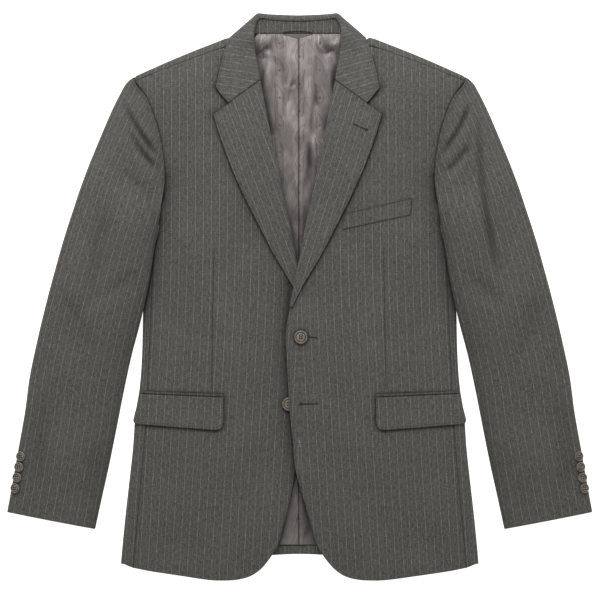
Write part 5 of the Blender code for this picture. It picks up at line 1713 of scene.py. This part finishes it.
def stitch_tree():
    """Geometry Nodes: small stitches along a line, each turned by an angle to it."""
    if "run_of_stitches" in bpy.data.node_groups:
        return bpy.data.node_groups["run_of_stitches"]
    tree = bpy.data.node_groups.new("run_of_stitches", "GeometryNodeTree")
    sockets = tree.interface
    sockets.new_socket("Line", in_out="INPUT", socket_type="NodeSocketGeometry")
    for name, value in (("Spacing", 0.003), ("Length", 0.0014), ("Width", 0.0005), ("Turn", 0.0)):
        sockets.new_socket(name, in_out="INPUT", socket_type="NodeSocketFloat").default_value = value
    sockets.new_socket("Thread", in_out="INPUT", socket_type="NodeSocketMaterial")
    sockets.new_socket("Stitches", in_out="OUTPUT", socket_type="NodeSocketGeometry")
    graph = Graph(tree)
    given = graph.add("NodeGroupInput")
    line = graph.add("GeometryNodeMeshToCurve", given.outputs["Line"])
    spaced = graph.add("GeometryNodeResampleCurve", mode="LENGTH")
    graph.fill(spaced.inputs["Curve"], line.outputs[0])
    graph.fill(spaced.inputs["Length"], given.outputs["Spacing"])
    bead = graph.add("GeometryNodeMeshUVSphere", 6, 4, 0.5)
    tangent = graph.add("GeometryNodeInputTangent")
    aimed = graph.add("FunctionNodeAlignRotationToVector", axis="X")
    graph.fill(aimed.inputs["Vector"], tangent.outputs[0])
    about_z = graph.add("ShaderNodeCombineXYZ", 0.0, 0.0, given.outputs["Turn"])
    angle = graph.add("FunctionNodeEulerToRotation", about_z.outputs[0])
    turned = graph.add("FunctionNodeRotateRotation", rotation_space="LOCAL")
    graph.fill(turned.inputs[0], aimed.outputs[0])
    graph.fill(turned.inputs[1], angle.outputs[0])
    width = given.outputs["Width"]
    size = graph.add("ShaderNodeCombineXYZ", given.outputs["Length"], width, width)
    copies = graph.add("GeometryNodeInstanceOnPoints")
    graph.fill(copies.inputs["Points"], spaced.outputs[0])
    graph.fill(copies.inputs["Instance"], bead.outputs[0])
    graph.fill(copies.inputs["Rotation"], turned.outputs[0])
    graph.fill(copies.inputs["Scale"], size.outputs[0])
    whole = graph.add("GeometryNodeRealizeInstances", copies.outputs[0])
    painted = graph.add("GeometryNodeSetMaterial", whole.outputs[0])
    graph.fill(painted.inputs["Material"], given.outputs["Thread"])
    result = graph.add("NodeGroupOutput")
    tree.links.new(painted.outputs[0], result.inputs[0])
    return tree


def sewn_row(name, lines, spacing, length, width, material, slot, turn=0.0):
    """Stitches along lines of points in millimetres, as one plain mesh that rides on the cloth."""
    points, edges = [], []
    for line in lines:
        edges += [(len(points) + k, len(points) + k + 1) for k in range(len(line) - 1)]
        points += [tuple(point) for point in np.asarray(line) * MM]
    mesh = bpy.data.meshes.new(name)
    mesh.from_pydata(points, edges, [])
    made = bpy.data.objects.new(name, mesh)
    bpy.context.scene.collection.objects.link(made)
    tree = stitch_tree()
    run = made.modifiers.new("stitches", "NODES")
    run.node_group = tree
    known = {item.name: item.identifier for item in tree.interface.items_tree if item.in_out == "INPUT"}
    values = (("Spacing", spacing), ("Length", length), ("Width", width), ("Turn", turn))
    for key, value in values:
        run[known[key]] = float(value)
    run[known["Thread"]] = material
    made.data = applied(made)
    made.data.shade_smooth()
    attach(made, "root")


def inset_line(outer, edge, inset, raise_by=0.05, part=(0.0, 1.0)):
    """A line on a wall's outer face at a distance in from one of its edges."""
    if edge in "fl":
        outer = outer.swapaxes(0, 1)
    across = run_across(outer)
    wanted = np.full(len(outer), inset)
    if edge in "el":
        wanted = across[:, -1] - inset
    line = []
    for row, runs, at in zip(outer, across, wanted):
        line.append([np.interp(at, runs, row[:, k]) for k in range(3)])
    line = np.array(line) + [0, 0, raise_by]
    first, last = (np.array(part) * (len(line) - 1)).astype(int)
    return line[first : last + 1]


def slit_outline(hole, away):
    """A keyhole-shaped loop round a buttonhole, in plan, at a distance from its edge."""
    eye, end = np.array([hole.eye_x, hole.eye_y]), np.array([hole.end_x, hole.end_y])
    way = (end - eye) / np.linalg.norm(end - eye)
    aside = np.array([-way[1], way[0]])
    half = 0.24 + away
    radius = hole.eye_radius * 0.7 + away
    start = np.arcsin(min(1.0, half / radius))
    points = []
    for angle in np.linspace(start, 2 * np.pi - start, 18):
        points.append(eye + radius * (way * np.cos(angle) + aside * np.sin(angle)))
    for turn in np.linspace(-np.pi / 2, np.pi / 2, 7):
        points.append(end + half * (way * np.cos(turn) + aside * np.sin(turn)))
    return np.array(points + points[:1])


def on_cloth(plan, side, lapel):
    """Height of the cloth at plan points, on a front or on its lapel."""
    x, y = plan[:, 0], plan[:, 1]
    z = front_height(x, y, side) + folds_at(x, y, BODY_FOLDS)
    if lapel:
        flat = lapel_shell(side).outer[:, -60:].reshape(-1, 3)
        z = np.array([flat[np.argmin(np.hypot(*(flat[:, :2] - point).T)), 2] for point in plan])
    return np.column_stack([x, y, z])


# ---------------------------------------------------------------- settings


def colour_setting(name, description, default):
    return bpy.props.FloatVectorProperty(
        name=name, description=description, subtype="COLOR", size=3, min=0.0, max=1.0, default=default
    )


def length_setting(name, description, default):
    return bpy.props.FloatProperty(
        name=name, description=description, unit="LENGTH", min=0.0, default=default, precision=5
    )


def share_setting(name, description, default):
    return bpy.props.FloatProperty(
        name=name, description=description, subtype="FACTOR", min=0.0, max=1.0, default=default
    )


class WoolSettings(bpy.types.PropertyGroup):
    """Colours and weave of the pinstriped wool."""

    dark_fibre: colour_setting("Dark fibre", "Darker yarn of the melange", (0.050, 0.047, 0.0425))
    light_fibre: colour_setting("Light fibre", "Lighter yarn of the melange", (0.138, 0.130, 0.118))
    stripe: colour_setting("Stripe", "Yarn of the pinstripes", (0.33, 0.315, 0.29))
    stripe_pitch: length_setting("Stripe pitch", "Distance between the stronger stripes", 0.0115)
    stripe_width: length_setting("Stripe width", "Half the width of a stripe", 0.00058)
    dash_length: length_setting("Dash length", "Length of the light and dark parts of a stripe", 0.006)
    stripe_strength: share_setting("Stripe strength", "How far the stripes stand out", 0.76)
    faint_stripe: share_setting("Faint stripe", "Strength of every other stripe", 0.25)
    melange: share_setting("Melange", "Softness of the step between the yarns", 0.115)
    twill_pitch: length_setting("Twill pitch", "Distance between two ribs of the twill", 0.0011)
    relief: length_setting("Relief", "Depth of the weave", 0.00022)


class LiningSettings(bpy.types.PropertyGroup):
    """Colours and figure of the satin lining."""

    colour: colour_setting("Colour", "Satin ground", (0.262, 0.228, 0.22))
    figure_colour: colour_setting("Figure", "Tonal woven figure", (0.085, 0.071, 0.069))
    # painted shade that the satin's ground turns to near the hem; the patch below the loop takes this colour
    # too
    shade_colour: colour_setting("Shade", "Ground near the hem and below the loop", (0.112, 0.097, 0.093))
    figure: share_setting("Figure strength", "How far the figure stands out", 0.85)
    repeat: length_setting("Repeat", "Width of one repeat of the figure", 0.029)
    relief: length_setting("Relief", "Depth of the weave and its fine wrinkles", 0.0006)


class ButtonSettings(bpy.types.PropertyGroup):
    """Colours of the horn buttons."""

    light: colour_setting("Light", "Light parts of the horn", (0.255, 0.22, 0.178))
    dark: colour_setting("Dark", "Dark parts of the horn", (0.105, 0.088, 0.07))
    thread: colour_setting("Thread", "Thread that holds the buttons", (0.03, 0.026, 0.023))


class SewingSettings(bpy.types.PropertyGroup):
    """Sizes of the stitches that show."""

    pick_spacing: length_setting("Pick spacing", "Distance between two pick stitches", 0.0031)
    pick_length: length_setting("Pick length", "Length of a pick stitch", 0.0014)
    pick_width: length_setting("Pick width", "Width of a pick stitch", 0.0008)
    purl_spacing: length_setting("Purl spacing", "Distance between two stitches of a buttonhole", 0.0006)
    purl_length: length_setting("Purl length", "Length of a buttonhole's stitch", 0.0012)
    thread: colour_setting("Thread", "Sewing thread", (0.04, 0.037, 0.033))


class StageSettings(bpy.types.PropertyGroup):
    """The surface, the lights and the camera."""

    width: length_setting("Width", "Width of what the camera sees", 0.864)
    distance: length_setting("Distance", "Height of the camera above the cloth", 4.0)
    key: bpy.props.FloatProperty(name="Key", description="Power of the soft light", default=35.0, min=0.0)
    sky: share_setting("Sky", "Strength of the even light from all round", 0.475)


# ---------------------------------------------------------------- operators


class BLAZER_OT_back(bpy.types.Operator):
    """Build the two back panels and the back's turned-up hem"""

    bl_idname = "blazer.back"
    bl_label = "Back"

    def execute(self, context):
        cloth = wool(context)
        for side in (UNDER, OVER):
            wall = back_shell(side)
            down = BACK_HEM_CENTRE + run_down(wall.outer)
            cut = np.stack([np.abs(wall.outer[..., 0]), down], axis=-1)
            node = sided("back", side)
            add_shell(f"cloth_{node}", wall, cut, cloth, node)
        wall = hem_facing_shell()
        cut = body_cut(wall.outer + [400, 0, 0])
        add_shell("cloth_back_hem_facing", wall, cut, cloth, "back_hem_facing")
        return {"FINISHED"}


class BLAZER_OT_sides(bpy.types.Operator):
    """Build the side panels that fold round the laid body"""

    bl_idname = "blazer.sides"
    bl_label = "Side panels"

    def execute(self, context):
        for side in (UNDER, OVER):
            wall = side_shell(side)
            across = run_across(wall.outer)
            cut = body_cut(wall.outer[:, :1]) + np.stack([across, 0 * across], axis=-1)
            node = sided("side_body", side)
            add_shell(f"cloth_{node}", wall, cut, wool(context), node)
        return {"FINISHED"}


class BLAZER_OT_fronts(bpy.types.Operator):
    """Build the two fronts with their darts"""

    bl_idname = "blazer.fronts"
    bl_label = "Fronts"

    def execute(self, context):
        for side in (UNDER, OVER):
            wall = front_shell(side)
            cut = body_cut(wall.outer)
            node = sided("front", side)
            add_shell(f"cloth_{node}", wall, cut, wool(context), node)
        return {"FINISHED"}


class BLAZER_OT_lapels(bpy.types.Operator):
    """Build the turned lapels"""

    bl_idname = "blazer.lapels"
    bl_label = "Lapels"

    def execute(self, context):
        for side in (UNDER, OVER):
            wall = lapel_shell(side)
            cut = leaning_cut(wall.outer, LAPEL_LEAN[side])
            node = sided("lapel", side)
            add_shell(f"cloth_{node}", wall, cut, wool(context), node)
        return {"FINISHED"}


class BLAZER_OT_sleeves(bpy.types.Operator):
    """Build the upper and under cloth of both sleeves, with their drag folds"""

    bl_idname = "blazer.sleeves"
    bl_label = "Sleeves"

    def execute(self, context):
        for side in (UNDER, OVER):
            top, under = sleeve_shells(side)
            below = sided("sleeve_under", side)
            for node, wall, rests in (
                (sided("sleeve_top", side), top, [f"cloth_{below}"]),
                (below, under, ["surface"]),
            ):
                cut = sleeve_cut(wall.outer)
                add_shell(f"cloth_{node}", wall, cut, wool(context), node)
        return {"FINISHED"}


class BLAZER_OT_collar(bpy.types.Operator):
    """Build the collar's fall and the band inside the neck"""

    bl_idname = "blazer.collar"
    bl_label = "Collar"

    def execute(self, context):
        cloth = wool(context)
        wall = collar_shell()
        cut = collar_cut(wall.outer)
        size = run_down(wall.outer)[-1].max(), run_across(wall.outer)[:, -1].max()
        add_shell("cloth_collar_fall", wall, cut, cloth, "collar_fall", size)
        wall = stand_shell()
        cut = wall.outer[..., :2] + [0.4, 0.0]
        add_shell("cloth_collar_stand", wall, cut, cloth, "collar_stand")
        return {"FINISHED"}


class BLAZER_OT_lining(bpy.types.Operator):
    """Build the back lining and the loop at the neck"""

    bl_idname = "blazer.lining"
    bl_label = "Lining"

    def execute(self, context):
        for side in (UNDER, OVER):
            wall = lining_shell(side)
            name = sided("lining_back", side)
            cut = wall.outer[..., :2]
            add_shell(name, wall, cut, satin(context), sided("back_lining", side))
        wall = loop_shell()
        cut = wall.outer[..., :2] + [0.4, 0.0]
        add_shell("loop_at_neck", wall, cut, wool(context), "hanger_loop")
        wall = loop_patch_shell()
        add_shell("loop_patch", wall, wall.outer[..., :2], loop_cloth(context))
        return {"FINISHED"}


class BLAZER_OT_pockets(bpy.types.Operator):
    """Build the flaps, the jets above them and the breast pocket's welt"""

    bl_idname = "blazer.pockets"
    bl_label = "Pockets"

    def execute(self, context):
        cloth = wool(context)
        for side in (UNDER, OVER):
            for part, wall in zip(("pocket_jet", "pocket_flap"), pocket_shells(side)):
                node = sided(part, side)
                add_shell(f"cloth_{node}", wall, body_cut(wall.outer), cloth, node)
        wall = welt_shell()
        cut = body_cut(wall.outer)
        add_shell("cloth_breast_welt", wall, cut, cloth, "breast_welt")
        return {"FINISHED"}


class BLAZER_OT_buttons(bpy.types.Operator):
    """Build the front and sleeve buttons with their holes and threads"""

    bl_idname = "blazer.buttons"
    bl_label = "Buttons"

    def execute(self, context):
        tilt = np.radians(22.0)
        nodes = [(f"front_button_{number}", 0.0) for number in (1, 2)]
        for side in (UNDER, OVER):
            for number in range(1, SLEEVE_BUTTONS + 1):
                nodes.append((f"{sided('sleeve_button', side)}_{number}", side * tilt))
        strand = thread(context, "button_thread", context.scene.blazer_buttons.thread)
        for node, lean in nodes:
            radius, thickness, place = node_place(node, lean)
            made = turned_button(f"horn_{node}", radius, thickness, horn(context))
            placed(made, place, lean)
            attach(made, "root")
            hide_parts(node)
            bars = button_threads(f"thread_{node}", radius, thickness, strand)
            placed(bars, place, lean)
            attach(bars, "root")
        return {"FINISHED"}


class BLAZER_OT_sewing(bpy.types.Operator):
    """Sew the edges with pick stitches and work the buttonholes"""

    bl_idname = "blazer.sewing"
    bl_label = "Sewing"

    def execute(self, context):
        self.pick_edges(context)
        self.work_holes(context)
        return {"FINISHED"}

    def pick_edges(self, context):
        sewing = context.scene.blazer_sewing
        yarn = thread(context, "sewing_thread", sewing.thread)
        sizes = sewing.pick_spacing, sewing.pick_length, sewing.pick_width
        for side in (UNDER, OVER):
            edge = inset_line(front_shell(side).outer, "e", PICK_INSET)
            lines = [edge[edge[:, 1] < -8.0]]
            lines.append(inset_line(lapel_shell(side).outer, "e", PICK_INSET))
            flap = pocket_shells(side)[1].outer
            lines.append(inset_line(flap, "s", PICK_INSET, part=(0.0, 0.8)))
            lines.append(inset_line(flap, "l", PICK_INSET, part=(0.08, 1.0)))
            if side == OVER:
                lines.append(inset_line(welt_shell().outer, "l", 0.6 * PICK_INSET))
            sewn_row(sided("pick_stitches", side), lines, *sizes, yarn, "cloth")
        line = inset_line(collar_shell().outer, "e", PICK_INSET)
        line = line[line[:, 1] < 345.0]
        lines = [line[line[:, 0] < 0], line[line[:, 0] > 0]]
        sewn_row("pick_stitches_collar", lines, *sizes, yarn, "cloth")

    def work_holes(self, context):
        sewing = context.scene.blazer_sewing
        yarn = thread(context, "sewing_thread", sewing.thread)
        for hole in HOLES:
            lapel = hole.name == "lapel_buttonhole"
            line = on_cloth(slit_outline(hole, 0.55), OVER, lapel) + [0, 0, 0.12]
            sizes = sewing.purl_spacing, sewing.purl_length, sewing.purl_spacing
            sewn_row(hole.name, [line], *sizes, yarn, "cloth", turn=np.pi / 2)
            slit = on_cloth(slit_outline(hole, 0.0), OVER, lapel)
            self.cut_slit(f"{hole.name}_slit", slit, context)
        return {"FINISHED"}

    def cut_slit(self, name, line, context):
        """A thin near-black plate on the cloth: the painted shadow in a buttonhole's opening."""
        ring = line[:-1]
        count = len(ring)
        points = np.vstack([ring + [0, 0, 0.16], ring - [0, 0, 0.1]])
        faces = [tuple(range(count)), tuple(range(2 * count - 1, count - 1, -1))]
        faces += [(k, count + k, count + (k + 1) % count, (k + 1) % count) for k in range(count)]
        shadow = thread(context, "slit_shadow", (0.008, 0.008, 0.008))
        made = new_object(name, points, faces, shadow)
        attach(made, "root")


class BLAZER_OT_stage(bpy.types.Operator):
    """Set the white surface, the soft light and the camera above it"""

    bl_idname = "blazer.stage"
    bl_label = "Stage"

    def execute(self, context):
        look = context.scene.blazer_stage
        self.add_surface(context)
        key = bpy.data.lights.new("key", "AREA")
        key.shape = "DISK"
        key.size = 1.2
        key.energy = look.key
        lamp = bpy.data.objects.new("key", key)
        lamp.location = (-0.15, 1.6, 1.5)
        lamp.rotation_euler = (np.radians(-46.7), np.radians(-5.7), 0.0)
        context.scene.collection.objects.link(lamp)
        world = bpy.data.worlds.new("studio")
        world.use_nodes = True
        world.node_tree.nodes["Background"].inputs[0].default_value = (1.0, 1.0, 1.0, 1.0)
        world.node_tree.nodes["Background"].inputs[1].default_value = look.sky
        context.scene.world = world
        context.scene.view_settings.view_transform = "Standard"
        lens = bpy.data.cameras.new("camera")
        lens.sensor_width = 36.0
        lens.lens = 36.0 * look.distance / look.width
        lens.clip_end = 50.0
        camera = bpy.data.objects.new("camera", lens)
        camera.location = (0.00036, -0.00432, look.distance + 0.008)
        context.scene.collection.objects.link(camera)
        context.scene.camera = camera
        return {"FINISHED"}

    def add_surface(self, context):
        mesh = bpy.data.meshes.new("surface")
        half = 6.0
        signs = ((-1, -1), (1, -1), (1, 1), (-1, 1))
        mesh.from_pydata([(half * x, half * y, -0.0004) for x, y in signs], [], [(0, 1, 2, 3)])
        made, _, shader = new_material("white_surface")
        shader.inputs["Base Color"].default_value = (0.8, 0.8, 0.8, 1.0)
        shader.inputs["Roughness"].default_value = 0.9
        shader.inputs["Emission Color"].default_value = (1.0, 1.0, 1.0, 1.0)
        shader.inputs["Emission Strength"].default_value = 0.9
        mesh.materials.append(made)
        surface = bpy.data.objects.new("surface", mesh)
        context.scene.collection.objects.link(surface)


class BLAZER_PT_panel(bpy.types.Panel):
    """Lists the blazer's settings and steps"""

    bl_idname = "BLAZER_PT_panel"
    bl_label = "Laid blazer"
    bl_space_type = "VIEW_3D"
    bl_region_type = "UI"
    bl_category = "Blazer"

    def draw(self, context):
        for group, owner in SETTINGS.items():
            box = self.layout.box()
            box.label(text=group.replace("_", " ").capitalize())
            for name in owner.__annotations__:
                box.prop(getattr(context.scene, group), name)
        for operator in OPERATORS:
            self.layout.operator(operator.bl_idname)


SETTINGS = {
    "blazer_wool": WoolSettings,
    "blazer_lining": LiningSettings,
    "blazer_buttons": ButtonSettings,
    "blazer_sewing": SewingSettings,
    "blazer_stage": StageSettings,
}
OPERATORS = (
    BLAZER_OT_stage,
    BLAZER_OT_back,
    BLAZER_OT_lining,
    BLAZER_OT_sides,
    BLAZER_OT_fronts,
    BLAZER_OT_lapels,
    BLAZER_OT_collar,
    BLAZER_OT_sleeves,
    BLAZER_OT_pockets,
    BLAZER_OT_buttons,
    BLAZER_OT_sewing,
)


def register():
    for group, owner in SETTINGS.items():
        bpy.utils.register_class(owner)
        setattr(bpy.types.Scene, group, bpy.props.PointerProperty(type=owner))
    for operator in OPERATORS:
        bpy.utils.register_class(operator)
    bpy.utils.register_class(BLAZER_PT_panel)


def unregister():
    bpy.utils.unregister_class(BLAZER_PT_panel)
    for operator in reversed(OPERATORS):
        bpy.utils.unregister_class(operator)
    for group, owner in reversed(SETTINGS.items()):
        delattr(bpy.types.Scene, group)
        bpy.utils.unregister_class(owner)


def main():
    register()
    for operator in OPERATORS:
        package, name = operator.bl_idname.split(".")
        getattr(getattr(bpy.ops, package), name)()


if __name__ == "__main__":
    main()
